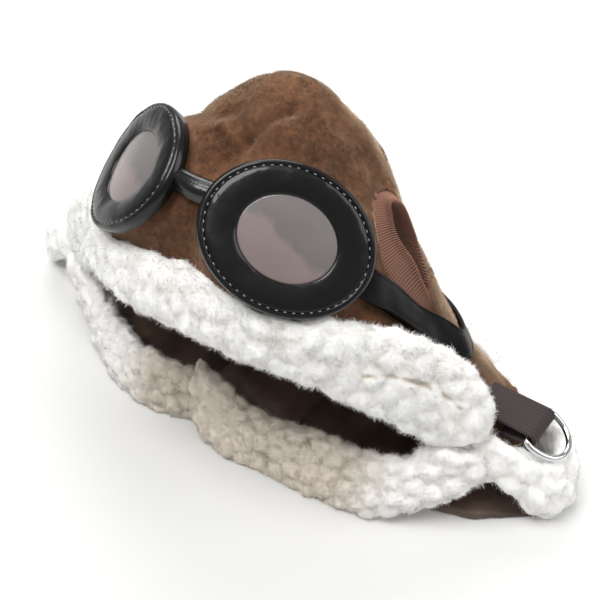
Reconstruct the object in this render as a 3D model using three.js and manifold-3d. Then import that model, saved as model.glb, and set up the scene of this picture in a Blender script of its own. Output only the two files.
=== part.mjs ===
// A pet's aviator hat, lying on its neck edge with the face opening towards -Y: a fleece hood with
// a satin lining, curly pile trims, two lined throat flaps, goggles on a strap, knitted ear cuffs
// and a webbing loop that holds a steel D ring. Millimetres, +Z up, z = 0 is what the hat lies on.
// Right and left are as seen from in front, so right is +X.

import * as THREE from "three";
import { mergeVertices } from "three/addons/utils/BufferGeometryUtils.js";
import Module from "manifold-3d";

const wasm = await Module();
wasm.setup();

const V = (x, y, z) => new THREE.Vector3(x, y, z);
const UP = V(0, 0, 1);
const TURN = 2 * Math.PI;

// Clearances and cloth thicknesses
const GAP = 0.3;
const FLEECE = 2.2;
const SATIN = 1.2;
const FLAP_CLOTH = 3;
const PILE_BAND = 9.5;
const LOCK_HEIGHT = 0.9;

// The bands' sections, a station every so many millimetres along them
const STATION = 10;
const TRIM = { sides: 10, thickness: PILE_BAND, roundEnds: 2, locks: LOCK_HEIGHT };
const TRIM_CUTTER = { ...TRIM, grow: GAP };

// The hat lies a little spread to the left, so that side reaches further out
const SPREAD = 0.08;
const HALF_WIDTH = 96;

// The crown's lower edge from the forehead round the right side to the nape, with each place's
// bearing from the peak in degrees
const HEM = [
  { at: "forehead", x: 0, y: -57, z: 84, bearing: 0 },
  { at: "brow", x: 21, y: -55.5, z: 83, bearing: 17 },
  { at: "temple", x: 38, y: -51, z: 80, bearing: 34 },
  { at: "goggle end", x: 50, y: -40, z: 75, bearing: 50 },
  { at: "cheek top", x: 61.5, y: -28, z: 69, bearing: 63 },
  { at: "cheek", x: 75, y: -18, z: 57, bearing: 73 },
  { at: "jaw", x: 86, y: -14, z: 44, bearing: 80 },
  { at: "webbing root", x: 94, y: -13, z: 31, bearing: 86 },
  { at: "corner front", x: 101, y: -7, z: 25, bearing: 91 },
  { at: "corner", x: 104, y: 2, z: 22.5, bearing: 96 },
  { at: "corner back", x: 98, y: 9, z: 23, bearing: 103 },
  { at: "neck side", x: 87, y: 14, z: 25, bearing: 112 },
  { at: "behind the ear", x: 69, y: 21.5, z: 26.5, bearing: 124 },
  { at: "nape side", x: 48, y: 32, z: 26, bearing: 143 },
  { at: "nape quarter", x: 25, y: 38, z: 25, bearing: 162 },
  { at: "nape", x: 0, y: 40, z: 25, bearing: 180 },
];

// The head's form under the cloth: its reach to the sides, the front and the back at each height
const PEAK = V(2.5, -1.5, 128);
const HEAD = [
  { z: 128, side: 0, front: 0, back: 0 },
  { z: 126.5, side: 8, front: 9, back: 5 },
  { z: 122, side: 16, front: 20, back: 9 },
  { z: 113.5, side: 26, front: 33, back: 14 },
  { z: 102, side: 35, front: 45, back: 19 },
  { z: 88, side: 40, front: 53, back: 22.5 },
  { z: 76, side: 43.5, front: 57, back: 25 },
  { z: 50, side: 50, front: 62, back: 33 },
  { z: 21, side: 60, front: 66, back: 42 },
];
const HEAD_SQUARE_FRONT = 2.6;
const HEAD_SQUARE_BACK = 2;
const FLARE_POWER = 3;
const DROP_POWER = 1.6;
const HOOD_MIDDLE = V(0, -5, 60);

// Dents and folds of the crown: a valley or ridge between two points, with its reach and depth
const FOLDS = [
  { name: "middle seam", from: [0, -60, 86], to: [0, -30, 112], reach: 5, depth: 2.2 },
  { name: "brow dent", from: [2, -44, 100], to: [-3, -36, 108], reach: 7, depth: 3 },
  { name: "fold over the goggle", from: [6, -38, 108], to: [38, -22, 108], reach: 7, depth: 2.5 },
  { name: "front bulge", from: [-18, -42, 104], to: [-8, -40, 106], reach: 9, depth: -2.5 },
  { name: "side hollow", from: [30, 6, 92], to: [42, 2, 78], reach: 9, depth: 3 },
];

// The face rim: inner edge of the pile band at the opening, outer edge at the cloth or the table
const BRIM_ROWS = [
  { at: "forehead", inner: [0, -64, 66], outer: [0, -55, 87] },
  { at: "brow", inner: [23, -61.5, 64], outer: [21, -53.5, 86] },
  { at: "temple", inner: [38, -55.5, 60], outer: [38, -49, 83] },
  { at: "goggle end", inner: [50, -49, 53], outer: [50, -38, 78] },
  { at: "cheek top", inner: [60, -41, 44], outer: [62, -26, 71.5] },
  { at: "cheek", inner: [68, -34, 36], outer: [76.5, -16, 60] },
  { at: "jaw", inner: [73, -30, 31], outer: [88, -13.5, 47] },
  { at: "corner", inner: [75, -28, 29], outer: [95, -17, 34] },
];
const CHIN_RIGHT_ROWS = [
  { at: "corner", inner: [75, -28.5, 28], outer: [95, -21, 28] },
  { at: "under the corner", inner: [72, -31, 26], outer: [90, -26, 12] },
  { at: "cheek", inner: [66, -35, 24], outer: [77, -37, 5] },
  { at: "chin side", inner: [56, -37, 22], outer: [61, -45, -2] },
  { at: "chin quarter", inner: [40, -38, 21], outer: [40, -49, -2] },
  { at: "chin", inner: [18, -40, 18], outer: [17, -51, -2] },
  { at: "past the middle", inner: [2, -41, 21], outer: [1, -52, -1] },
  { at: "end", inner: [-12, -39, 35], outer: [-12, -49, 3] },
];
const CHIN_LEFT_ROWS = [
  { at: "corner", inner: [74, -28.5, 28], outer: [93, -21, 28] },
  { at: "under the corner", inner: [70, -30, 26], outer: [85, -24, 13] },
  { at: "cheek", inner: [62, -34, 24], outer: [71, -34, 4] },
  { at: "chin side", inner: [49, -39, 22], outer: [52, -45, -2] },
  { at: "chin quarter", inner: [32, -43, 21], outer: [32, -50, -2] },
  { at: "end", inner: [6, -37, 18], outer: [6, -43, -2] },
];
const NECK_ROWS = [
  { at: "behind the face rim", inner: [84, -19, 20], outer: [86, -16, 34] },
  { at: "front", inner: [98, -16, 12], outer: [102, -12, 28] },
  { at: "corner front", inner: [112, -11.5, 0], outer: [109, -5, 24] },
  { at: "corner", inner: [114, -2, -2], outer: [110, 3, 23] },
  { at: "corner back", inner: [107, 8, -2], outer: [103, 10, 24] },
  { at: "neck side", inner: [93, 15, -2], outer: [88.5, 14.5, 27] },
  { at: "behind the ear", inner: [74, 25, -2], outer: [70, 22, 28.5] },
  { at: "nape side", inner: [50, 36, -2], outer: [48, 33, 29] },
  { at: "nape quarter", inner: [25, 43, -2], outer: [25, 39.5, 28] },
  { at: "nape", inner: [0, 45, -2], outer: [0, 41.5, 28] },
];

// The throat flaps seen from above, and the right one's lap over the left one
const FLAP_OUTLINE = [
  [-4, -40], [16, -46], [38, -46], [56, -42], [70, -35], [86, -24], [96, -6], [72, 8], [30, 10], [-4, 9],
];
const LAP_OUTLINE = [[24, -43], [24, 5], [-16, 4], [-16, -38]];
const LAP_START = 10;

// Goggles: frame and lens half sizes, and where each one sits
const FRAME_HALF_WIDTH = 27;
const FRAME_HALF_HEIGHT = 22;
const LENS_SHARE = 0.57;
const FRAME_AROUND = 36;
const GOGGLES = {
  right: { x: 28, y: -41.5, z: 101.5, out: [0.51, -0.55, 0.66], across: [0.86, 0.33, -0.39] },
  left: { x: -32.5, y: -41, z: 102, out: [-0.54, -0.54, 0.645], across: [0.84, -0.34, 0.42] },
};
const FRAME_SECTION = [
  { at: "outer back", share: 0, height: -2.5 },
  { at: "outer edge", share: -0.03, height: 0.8 },
  { at: "outer lip", share: 0.02, height: 2.4 },
  { at: "stitched rim", share: 0.12, height: 3.0 },
  { at: "valley", share: 0.45, height: 2.3 },
  { at: "lens lip", share: 0.93, height: 2.5 },
  { at: "lens edge", share: 1, height: 1.2 },
  { at: "inner back", share: 1, height: -2.5 },
];
const LENS_THICKNESS = 0.8;
const LENS_HEIGHT = 1.4;
const GOGGLE_BOW = 2;
const GOGGLE_CUT_REACH = 20;
const SEAT_DEPTH = 1.6;
const SEAT_EDGE = 0.7;
const SEAT_BLEND = 1.22;

// Straps
const STRAP_WIDTH = 10;
const STRAP_THICKNESS = 1.8;
const STRAP = { sides: 8, thickness: STRAP_THICKNESS, square: 4 };
const BRIDGE_HEIGHT = 7;
const BRIDGE_LEAN = 0.9;
const BRIDGE_ROWS = [
  { at: "left goggle", x: -14, y: -46, z: 109.5 },
  { at: "middle", x: -3.5, y: -48.5, z: 110.5 },
  { at: "right goggle", x: 8, y: -47.5, z: 110 },
];
const STRAP_ROWS = [
  { at: "goggle", s: 0.1, z: 101, fall: 330 },
  { at: "temple", s: 0.14, z: 87, fall: 360 },
  { at: "cheek", s: 0.175, z: 74.5, fall: 300 },
  { at: "below the ear", s: 0.215, z: 64, fall: 235 },
  { at: "side", s: 0.26, z: 53, fall: 215 },
  { at: "behind the side", s: 0.31, z: 45, fall: 120 },
  { at: "back side", s: 0.4, z: 41, fall: 20 },
  { at: "back", s: 0.5, z: 41, fall: 0 },
];

// Ear openings: centre on the hood, half length and half width, and the direction of the length
const EAR = { s: 0.25, z: 83, halfLength: 20, halfWidth: 10.5, cuff: 4, knit: 2.2, lean: 2, around: 24 };
const EAR_LENGTH_DIRECTION = V(0.62, 0.12, -0.75).normalize();
const CLEAR_OF_HOOD = 40;
const EAR_CUT_REACH = 25;

// The webbing loop and its D ring: the ring's bar lies in the loop's fold
const WEBBING_WIDTH = 15;
const WEBBING = 1.6;
const BAR = V(100.5, -2, 31.5);
const WEBBING_ROOT = 20;
const WEBBING_RETURN = 10;
const FOLD_STEPS = 8;
const BAR_LENGTH = 17.5;
const BAR_STRAIGHT = 0.9;
const WIRE = 2.1;
const RING_DEPTH = 12.5;
const RING_DROOP = 26;
const BOW_REACH = 82;
const BOW_STEPS = 16;
const BOW_FULLNESS = 0.8;

// A solid from shared points and indexed triangles, turned the right way out
function solidOf(points, triangles) {
  const vertProperties = new Float32Array(points.flatMap((p) => [p.x, p.y, p.z]));
  const build = (order) => {
    const mesh = new wasm.Mesh({ numProp: 3, vertProperties, triVerts: new Uint32Array(order) });
    mesh.merge();
    return new wasm.Manifold(mesh);
  };
  const solid = build(triangles);
  return solid.volume() < 0 ? build([...triangles].reverse()) : solid;
}

function solidOfGeometry(geometry) {
  const flat = geometry.index ? geometry : mergeVertices(geometry);
  const position = flat.getAttribute("position");
  const points = [];
  for (let i = 0; i < position.count; i++) points.push(V().fromBufferAttribute(position, i));
  return solidOf(points, Array.from(flat.index.array));
}

// A tube through rings of equal point counts, with a fan over each end ring unless it closes on itself
function tubeThrough(rings, closed = false) {
  const sides = rings[0].length;
  const points = rings.flat();
  const triangles = [];
  const spans = closed ? rings.length : rings.length - 1;
  for (let i = 0; i < spans; i++) {
    const a = i * sides;
    const b = ((i + 1) % rings.length) * sides;
    for (let k = 0; k < sides; k++) {
      const next = (k + 1) % sides;
      triangles.push(a + k, b + k, b + next, a + k, b + next, a + next);
    }
  }
  if (!closed) {
    addFan(points, triangles, rings[0], 0, false);
    addFan(points, triangles, rings.at(-1), (rings.length - 1) * sides, true);
  }
  return solidOf(points, triangles);
}

function addFan(points, triangles, ring, start, turned) {
  const middle = points.push(meanOf(ring)) - 1;
  for (let k = 0; k < ring.length; k++) {
    const pair = [start + k, start + ((k + 1) % ring.length)];
    if (turned) pair.reverse();
    triangles.push(middle, ...pair);
  }
}

function meanOf(points) {
  const mean = V();
  for (const p of points) mean.addScaledVector(p, 1 / points.length);
  return mean;
}

// A flat outline raised to a thickness, from the outline's own plane
function slab(outline, low, high) {
  const shape = new THREE.Shape(outline.map(([x, y]) => new THREE.Vector2(x, y)));
  const geometry = new THREE.ExtrudeGeometry(shape, { depth: high - low, bevelEnabled: false, steps: 1 });
  geometry.deleteAttribute("normal");
  geometry.deleteAttribute("uv");
  return solidOfGeometry(mergeVertices(geometry.translate(0, 0, low)));
}

function smooth(points, closed = false) {
  return new THREE.CatmullRomCurve3(points, closed, "centripetal");
}

// The lie of the hat: points on its left side spread outwards
function lay(p) {
  if (p.x < 0) p.x *= 1 + SPREAD * Math.min(1, -p.x / HALF_WIDTH) ** 2;
  return p;
}

// Edge points of a table's rows for one side of the hat: 1 is +X, -1 is -X
function edgePoints(rows, side) {
  const place = (p) => lay(V(side * p[0], p[1], p[2]));
  return { inner: rows.map((r) => place(r.inner)), outer: rows.map((r) => place(r.outer)) };
}

function bothSides(rows) {
  const right = edgePoints(rows, 1);
  const left = edgePoints(rows.slice(1), -1);
  return [
    [...left.inner.reverse(), ...right.inner],
    [...left.outer.reverse(), ...right.outer],
  ];
}

// A steady scatter between 0 and 1 for the pile's locks
function scatter(i, k) {
  const v = Math.sin(i * 12.9898 + k * 78.233) * 43758.5453;
  return v - Math.floor(v);
}

// A band between two edges with a rounded section; grow widens it for a cutter, locks tuft its surface
function band([innerPoints, outerPoints], options) {
  const { station = STATION, sides, thickness, square = 2.6, grow = 0, locks = 0, roundEnds = 0 } = options;
  const innerEdge = smooth(innerPoints);
  const outerEdge = smooth(outerPoints);
  const stations = Math.round(outerEdge.getLength() / station);
  const middle = (t) => innerEdge.getPoint(t).add(outerEdge.getPoint(t)).multiplyScalar(0.5);
  const step = 0.25 / stations;
  const rings = [];
  for (let i = 0; i <= stations; i++) {
    const t = i / stations;
    const centre = middle(t);
    const across = outerEdge.getPoint(t).sub(innerEdge.getPoint(t));
    const halfWidth = across.length() / 2 + grow;
    across.normalize();
    const along = middle(Math.min(1, t + step)).sub(middle(Math.max(0, t - step))).normalize();
    const out = along.clone().cross(across).normalize();
    const end = Math.min(i, stations - i);
    const shrink = end < roundEnds ? 0.6 + 0.4 * Math.sqrt(1 - (1 - end / roundEnds) ** 2) : 1;
    const ring = [];
    for (let k = 0; k < sides; k++) {
      const angle = (k / sides) * TURN;
      const lock = locks * (2 * scatter(i, k) - 1);
      const w = roundedCosine(Math.cos(angle), square) * (halfWidth + lock) * shrink;
      const n = roundedCosine(Math.sin(angle), square) * (thickness / 2 + grow + lock) * shrink;
      ring.push(centre.clone().addScaledVector(across, w).addScaledVector(out, n));
    }
    rings.push(ring);
  }
  return tubeThrough(rings);
}

function roundedCosine(c, square) {
  return Math.sign(c) * Math.abs(c) ** (2 / square);
}

// A goggle's own axes: across, up and out
function goggleAxes(side) {
  const goggle = GOGGLES[side > 0 ? "right" : "left"];
  const out = V(...goggle.out).normalize();
  const up = out.clone().cross(V(...goggle.across)).normalize();
  const across = up.clone().cross(out);
  return { centre: V(goggle.x, goggle.y, goggle.z), across, up, out };
}

// The hood's outer surface: s goes once round from the forehead, q from the peak to the hem
const mix = THREE.MathUtils.lerp;
const hemRows = [
  ...HEM.map((h) => ({ edge: lay(V(h.x, h.y, h.z)), bearing: h.bearing })),
  ...HEM.slice(1, -1).reverse().map((h) => ({ edge: lay(V(-h.x, h.y, h.z)), bearing: 360 - h.bearing })),
];
const hemCurve = smooth(hemRows.map((r) => r.edge), true);
const headCurve = new THREE.CatmullRomCurve3(HEAD.map((r) => V(r.side, r.front, r.back)), false, "catmullrom");

// The bearing in radians at a share s of the way round, between the rows on each side of it
function bearingAt(s) {
  const row = s * hemRows.length;
  const before = hemRows[Math.floor(row)].bearing;
  const after = Math.floor(row) + 1 < hemRows.length ? hemRows[Math.floor(row) + 1].bearing : 360;
  return THREE.MathUtils.degToRad(mix(before, after, row - Math.floor(row)));
}

function headPoint(bearing, z) {
  let row = HEAD.findIndex((r) => r.z <= z);
  if (row < 0) row = HEAD.length - 1;
  if (row === 0) row = 1;
  const share = (HEAD[row - 1].z - z) / (HEAD[row - 1].z - HEAD[row].z);
  const reach = headCurve.getPoint(Math.min(1, (row - 1 + share) / (HEAD.length - 1)));
  const ahead = Math.cos(bearing);
  const power = 2 / (ahead > 0 ? HEAD_SQUARE_FRONT : HEAD_SQUARE_BACK);
  const x = Math.sign(Math.sin(bearing)) * Math.abs(Math.sin(bearing)) ** power * reach.x;
  const y = -Math.sign(ahead) * Math.abs(ahead) ** power * (ahead > 0 ? reach.y : reach.z);
  return V(PEAK.x + x, PEAK.y + y, z);
}

// The cloth is pressed flat under each goggle
const seats = [1, -1].map((side) => goggleAxes(side));
function seated(p) {
  for (const axes of seats) {
    const from = p.clone().sub(axes.centre);
    const u = from.dot(axes.across) / FRAME_HALF_WIDTH;
    const v = from.dot(axes.up) / FRAME_HALF_HEIGHT;
    const height = from.dot(axes.out);
    const weight = 1 - THREE.MathUtils.smoothstep(Math.hypot(u, v), SEAT_EDGE, SEAT_BLEND);
    if (weight > 0 && p.y < 0) p.addScaledVector(axes.out, (-SEAT_DEPTH - GOGGLE_BOW * u * u - height) * weight);
  }
  return p;
}

function foldOffset(p) {
  let offset = 0;
  for (const fold of FOLDS) {
    const near = new THREE.Line3(V(...fold.from), V(...fold.to)).closestPointToPoint(p, true, V());
    offset -= fold.depth * Math.exp(-((near.distanceTo(p) / fold.reach) ** 2));
  }
  return offset;
}

function hoodPoint(s, q) {
  const round = ((s % 1) + 1) % 1;
  const hem = hemCurve.getPoint(round);
  const drop = q ** DROP_POWER;
  const head = headPoint(bearingAt(round), mix(PEAK.z, hem.z, drop));
  const p = head.lerp(hem, drop ** FLARE_POWER);
  p.addScaledVector(p.clone().sub(HOOD_MIDDLE).normalize(), foldOffset(p));
  return seated(p);
}

function hoodNormal(s, q) {
  const nearPeak = 0.06;
  if (q < nearPeak) return UP.clone();
  const step = 0.006;
  const round = hoodPoint(s + step, q).sub(hoodPoint(s - step, q));
  const down = hoodPoint(s, Math.min(1, q + step)).sub(hoodPoint(s, q - step));
  return down.cross(round).normalize();
}

function hoodOffset(s, q, distance) {
  return hoodPoint(s, q).addScaledVector(hoodNormal(s, q), distance);
}

// The point of the hood surface at a height, by halving
function hoodAtHeight(s, z, distance) {
  let low = 0;
  let high = 1;
  for (let i = 0; i < 24; i++) {
    const q = (low + high) / 2;
    if (hoodPoint(s, q).z > z) low = q;
    else high = q;
  }
  return { point: hoodOffset(s, low, distance), normal: hoodNormal(s, low) };
}

function hoodRings(distance, around, down) {
  const rings = [];
  for (let j = 1; j <= down; j++) {
    const ring = [];
    for (let i = 0; i < around; i++) ring.push(hoodOffset(i / around, j / down, distance));
    rings.push(ring);
  }
  return rings;
}

function domeTriangles(first, rings, around, peak, outwards) {
  const triangles = [];
  const put = (a, b, c) => triangles.push(...(outwards ? [a, b, c] : [a, c, b]));
  for (let i = 0; i < around; i++) {
    const next = (i + 1) % around;
    put(peak, first + i, first + next);
    for (let j = 0; j + 1 < rings; j++) {
      const a = first + j * around;
      const b = a + around;
      put(a + i, b + i, b + next);
      put(a + i, b + next, a + next);
    }
  }
  return triangles;
}

// A shell of cloth between two distances from the hood surface
function hoodShell(outerDistance, innerDistance, around, down) {
  const outer = hoodRings(outerDistance, around, down);
  const inner = hoodRings(innerDistance, around, down);
  const points = [...outer.flat(), ...inner.flat()];
  const half = outer.length * around;
  const peakOut = points.push(hoodOffset(0, 0, outerDistance)) - 1;
  const peakIn = points.push(hoodOffset(0, 0, innerDistance)) - 1;
  const triangles = [
    ...domeTriangles(0, outer.length, around, peakOut, true),
    ...domeTriangles(half, inner.length, around, peakIn, false),
  ];
  const rimOut = half - around;
  const rimIn = 2 * half - around;
  for (let i = 0; i < around; i++) {
    const next = (i + 1) % around;
    triangles.push(rimOut + i, rimIn + i, rimIn + next, rimOut + i, rimIn + next, rimOut + next);
  }
  return solidOf(points, triangles);
}

// The hood as a full block, for cutting what lies on it
function hoodBlock(distance, around, down) {
  const rings = hoodRings(distance, around, down);
  const points = rings.flat();
  const peak = points.push(hoodOffset(0, 0, distance)) - 1;
  const middle = points.push(HOOD_MIDDLE.clone()) - 1;
  const triangles = domeTriangles(0, rings.length, around, peak, true);
  const rim = (rings.length - 1) * around;
  for (let i = 0; i < around; i++) triangles.push(rim + i, middle, rim + ((i + 1) % around));
  return solidOf(points, triangles);
}

// Pile trims: the face rim, the two chin bands that lap under the chin, and the neck rim. A trim is
// cut out of the cloth it covers as the same band grown by the gap
const table = solidOfGeometry(bare(new THREE.BoxGeometry(400, 400, 40).translate(0, 0, -20)));

function bare(geometry) {
  geometry.deleteAttribute("normal");
  geometry.deleteAttribute("uv");
  return mergeVertices(geometry);
}

function brimBand(style) {
  return band(bothSides(BRIM_ROWS), style);
}

function chinBand(side, style) {
  const { inner, outer } = edgePoints(side > 0 ? CHIN_RIGHT_ROWS : CHIN_LEFT_ROWS, side);
  return band(side > 0 ? [outer, inner] : [inner, outer], style).subtract(table);
}

function neckBand(style) {
  return band(neckEdges(), style).subtract(table);
}

function neckEdges() {
  const right = edgePoints(NECK_ROWS, 1);
  const left = edgePoints(NECK_ROWS.slice(0, -1), -1);
  return [
    [...right.inner, ...left.inner.reverse()],
    [...right.outer, ...left.outer.reverse()],
  ];
}

// A point of an oval between the frame's outer edge (share 0) and the lens opening (share 1)
function goggleOval(axes, angle, share, height, grow = 0) {
  const scale = 1 + (LENS_SHARE - 1) * share;
  const u = (FRAME_HALF_WIDTH * scale + grow) * Math.cos(angle);
  const v = (FRAME_HALF_HEIGHT * scale + grow) * Math.sin(angle);
  const bow = -GOGGLE_BOW * (u / FRAME_HALF_WIDTH) ** 2;
  return axes.centre
    .clone()
    .addScaledVector(axes.across, u)
    .addScaledVector(axes.up, v)
    .addScaledVector(axes.out, height + bow);
}

function goggleFrame(side) {
  const axes = goggleAxes(side);
  const rings = [];
  for (let i = 0; i < FRAME_AROUND; i++) {
    const angle = (i / FRAME_AROUND) * TURN;
    rings.push(FRAME_SECTION.map((row) => goggleOval(axes, angle, row.share, row.height)));
  }
  return tubeThrough(rings, true).subtract(hoodSkin);
}

// An upright oval column through the goggle, for cutting what meets its edge
function goggleColumn(side, share, low, high, grow) {
  const axes = goggleAxes(side);
  const ring = (height) => {
    const points = [];
    for (let i = 0; i < FRAME_AROUND; i++) {
      points.push(goggleOval(axes, (i / FRAME_AROUND) * TURN, share, height, grow));
    }
    return points;
  };
  return tubeThrough([ring(low), ring(high)]);
}

function goggleLens(side) {
  return goggleColumn(side, 1, LENS_HEIGHT - LENS_THICKNESS, LENS_HEIGHT, -GAP);
}

// A strap on the hood through its rows' places, with its lower and upper edge on the cloth
function strapBand(rows) {
  const distance = 3 * GAP + STRAP_THICKNESS / 2;
  const lower = [];
  const upper = [];
  for (const row of rows) {
    const { point, normal } = hoodAtHeight(row.s, row.z, distance);
    const step = 0.01;
    const round = point.clone().sub(hoodAtHeight(row.s - step, row.z + row.fall * step, distance).point);
    const across = normal.clone().cross(round).normalize().multiplyScalar(STRAP_WIDTH / 2);
    lower.push(point.clone().sub(across));
    upper.push(point.clone().add(across));
  }
  return band([lower, upper], STRAP);
}

function goggleStrap() {
  const left = STRAP_ROWS.slice(0, -1).reverse();
  const rows = [...STRAP_ROWS, ...left.map((r) => ({ s: 1 - r.s, z: r.z, fall: -r.fall }))];
  const strap = strapBand(rows);
  return without(strap, [hoodSkin, ...goggleColumns, ...earColumns(EAR.lean + GAP)]);
}

function goggleBridge() {
  const half = BRIDGE_HEIGHT / 2;
  const lower = BRIDGE_ROWS.map((r) => V(r.x, r.y, r.z - half));
  const upper = BRIDGE_ROWS.map((r) => V(r.x, r.y + half * BRIDGE_LEAN, r.z + half));
  return without(band([lower, upper], { ...STRAP, station: 4 }), [hoodSkin, ...goggleColumns]);
}

// An ear opening's own axes: along its length, its width and out of the hood
function earAxes(side) {
  const { point, normal } = hoodAtHeight(side > 0 ? EAR.s : 1 - EAR.s, EAR.z, 0);
  const length = V(side * EAR_LENGTH_DIRECTION.x, EAR_LENGTH_DIRECTION.y, EAR_LENGTH_DIRECTION.z);
  length.addScaledVector(normal, -length.dot(normal)).normalize();
  const width = normal.clone().cross(length);
  return { centre: point, length, width, out: normal };
}

function earOval(axes, angle, inset, height) {
  return axes.centre
    .clone()
    .addScaledVector(axes.length, (EAR.halfLength - inset) * Math.cos(angle))
    .addScaledVector(axes.width, (EAR.halfWidth - inset) * Math.sin(angle))
    .addScaledVector(axes.out, height);
}

function earColumn(side, grow) {
  const axes = earAxes(side);
  const ring = (height) => {
    const points = [];
    for (let i = 0; i < EAR.around; i++) points.push(earOval(axes, (i / EAR.around) * TURN, -grow, height));
    return points;
  };
  return tubeThrough([ring(-EAR_CUT_REACH), ring(EAR_CUT_REACH)]);
}

const earColumns = (grow) => [earColumn(1, grow), earColumn(-1, grow)];

// A knitted cuff stands in the ear opening, from inside the lining to above the fleece
function earCuff(side) {
  const axes = earAxes(side);
  const away = axes.out.clone().negate();
  const rings = [];
  for (let i = 0; i < EAR.around; i++) {
    const angle = (i / EAR.around) * TURN;
    const start = earOval(axes, angle, 0, CLEAR_OF_HOOD);
    const [hit] = new THREE.Raycaster(start, away).intersectObject(hoodTarget);
    const height = CLEAR_OF_HOOD - hit.distance;
    const low = height - FLEECE - SATIN - GAP;
    const high = height + EAR.cuff;
    rings.push([
      earOval(axes, angle, GAP, low),
      earOval(axes, angle, GAP + EAR.knit, low),
      earOval(axes, angle, GAP + EAR.knit + EAR.lean, high),
      earOval(axes, angle, GAP + EAR.lean, high),
    ]);
  }
  return tubeThrough(rings, true);
}

// Throat flaps: cloth laid on the table, the right one lapped over the left one
function throatFlap(side) {
  const outline = FLAP_OUTLINE.map(([x, y]) => [x, y]);
  const place = (points) => points.map(([x, y]) => lay(V(side * x, y, 0))).map((p) => [p.x, p.y]);
  if (side < 0) return slab(place(outline), 0, FLAP_CLOTH);
  const lap = slab(place(LAP_OUTLINE), FLAP_CLOTH + GAP, 2 * FLAP_CLOTH + GAP);
  return slab(place(outline.map(([x, y]) => [Math.max(x, LAP_START), y])), 0, FLAP_CLOTH + 2 * GAP).add(lap);
}

// The webbing runs out from the hood, folds round the ring's bar and comes back underneath
function webbingLoop() {
  const foldRadius = WIRE / 2 + GAP + WEBBING / 2;
  const line = [[-WEBBING_ROOT, foldRadius], [-WEBBING_ROOT / 2, foldRadius]];
  for (let i = 0; i <= FOLD_STEPS; i++) {
    const angle = Math.PI / 2 - (i / FOLD_STEPS) * Math.PI;
    line.push([foldRadius * Math.cos(angle), foldRadius * Math.sin(angle)]);
  }
  line.push([-WEBBING_RETURN, -foldRadius - 1]);
  const rings = line.map(([x, z], i) => {
    const [ax, az] = line[Math.max(0, i - 1)];
    const [bx, bz] = line[Math.min(line.length - 1, i + 1)];
    const along = V(bx - ax, 0, bz - az).normalize();
    const out = V(-along.z, 0, along.x);
    const centre = BAR.clone().add(V(x, 0, z));
    const corner = (w, n) =>
      centre.clone().add(V(0, (w * WEBBING_WIDTH) / 2, 0)).addScaledVector(out, (n * WEBBING) / 2);
    return [corner(-1, -1), corner(1, -1), corner(1, 1), corner(-1, 1)];
  });
  return tubeThrough(rings);
}

function ringWire() {
  const outward = V(1, 0, 0).applyAxisAngle(V(0, 1, 0), THREE.MathUtils.degToRad(RING_DROOP));
  const side = V(0, 1, 0);
  const half = BAR_LENGTH / 2;
  const place = (w, d) => BAR.clone().addScaledVector(side, w).addScaledVector(outward, d);
  const line = [place(-half * BAR_STRAIGHT, 0), place(0, 0), place(half * BAR_STRAIGHT, 0)];
  for (let i = 0; i <= BOW_STEPS; i++) {
    const angle = THREE.MathUtils.degToRad(BOW_REACH * (1 - (2 * i) / BOW_STEPS));
    line.push(place(half * Math.sin(angle), RING_DEPTH * Math.cos(angle) ** BOW_FULLNESS));
  }
  const flat = outward.clone().cross(side);
  const rings = line.map((p, i) => {
    const before = line[(i + line.length - 1) % line.length];
    const after = line[(i + 1) % line.length];
    const along = after.clone().sub(before).normalize();
    const across = along.clone().cross(flat).normalize();
    const ring = [];
    for (let k = 0; k < 8; k++) {
      const angle = (k / 8) * TURN;
      ring.push(
        p.clone()
          .addScaledVector(across, (WIRE / 2) * Math.cos(angle))
          .addScaledVector(flat, (WIRE / 2) * Math.sin(angle)),
      );
    }
    return ring;
  });
  return tubeThrough(rings, true);
}

function meshOf(name, solid, color, roughness, metalness = 0) {
  const data = solid.getMesh();
  const geometry = new THREE.BufferGeometry();
  geometry.setAttribute("position", new THREE.BufferAttribute(data.vertProperties, 3));
  geometry.setIndex(new THREE.BufferAttribute(data.triVerts, 1));
  geometry.computeVertexNormals();
  const material = new THREE.MeshStandardMaterial({ color, roughness, metalness });
  const mesh = new THREE.Mesh(geometry, material);
  mesh.name = name;
  return mesh;
}

const HOOD_AROUND = 41;
const HOOD_DOWN = 9;
const hoodSkin = hoodBlock(GAP, HOOD_AROUND, HOOD_DOWN);
const hoodTarget = meshOf("hood_target", hoodBlock(0, HOOD_AROUND, HOOD_DOWN), "#000000", 1);
hoodTarget.material.side = THREE.DoubleSide;

const without = (solid, cutters) => cutters.reduce((left, cutter) => left.subtract(cutter), solid);
const brimCutter = brimBand(TRIM_CUTTER);
const chinCutters = [chinBand(1, TRIM_CUTTER), chinBand(-1, TRIM_CUTTER)];
const trimCutters = [brimCutter, ...chinCutters, neckBand(TRIM_CUTTER)];
const goggleColumns = [1, -1].map((side) => goggleColumn(side, 0, -GOGGLE_CUT_REACH, GOGGLE_CUT_REACH, GAP));
const clothCutters = [...trimCutters, ...earColumns(0)];

const hat = new THREE.Group();
// Each piece is the largest body that its cuts leave
const put = (name, solid, color, roughness, metalness) => {
  const [largest] = solid.decompose().sort((a, b) => b.volume() - a.volume());
  hat.add(meshOf(name, largest, color, roughness, metalness));
};

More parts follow.
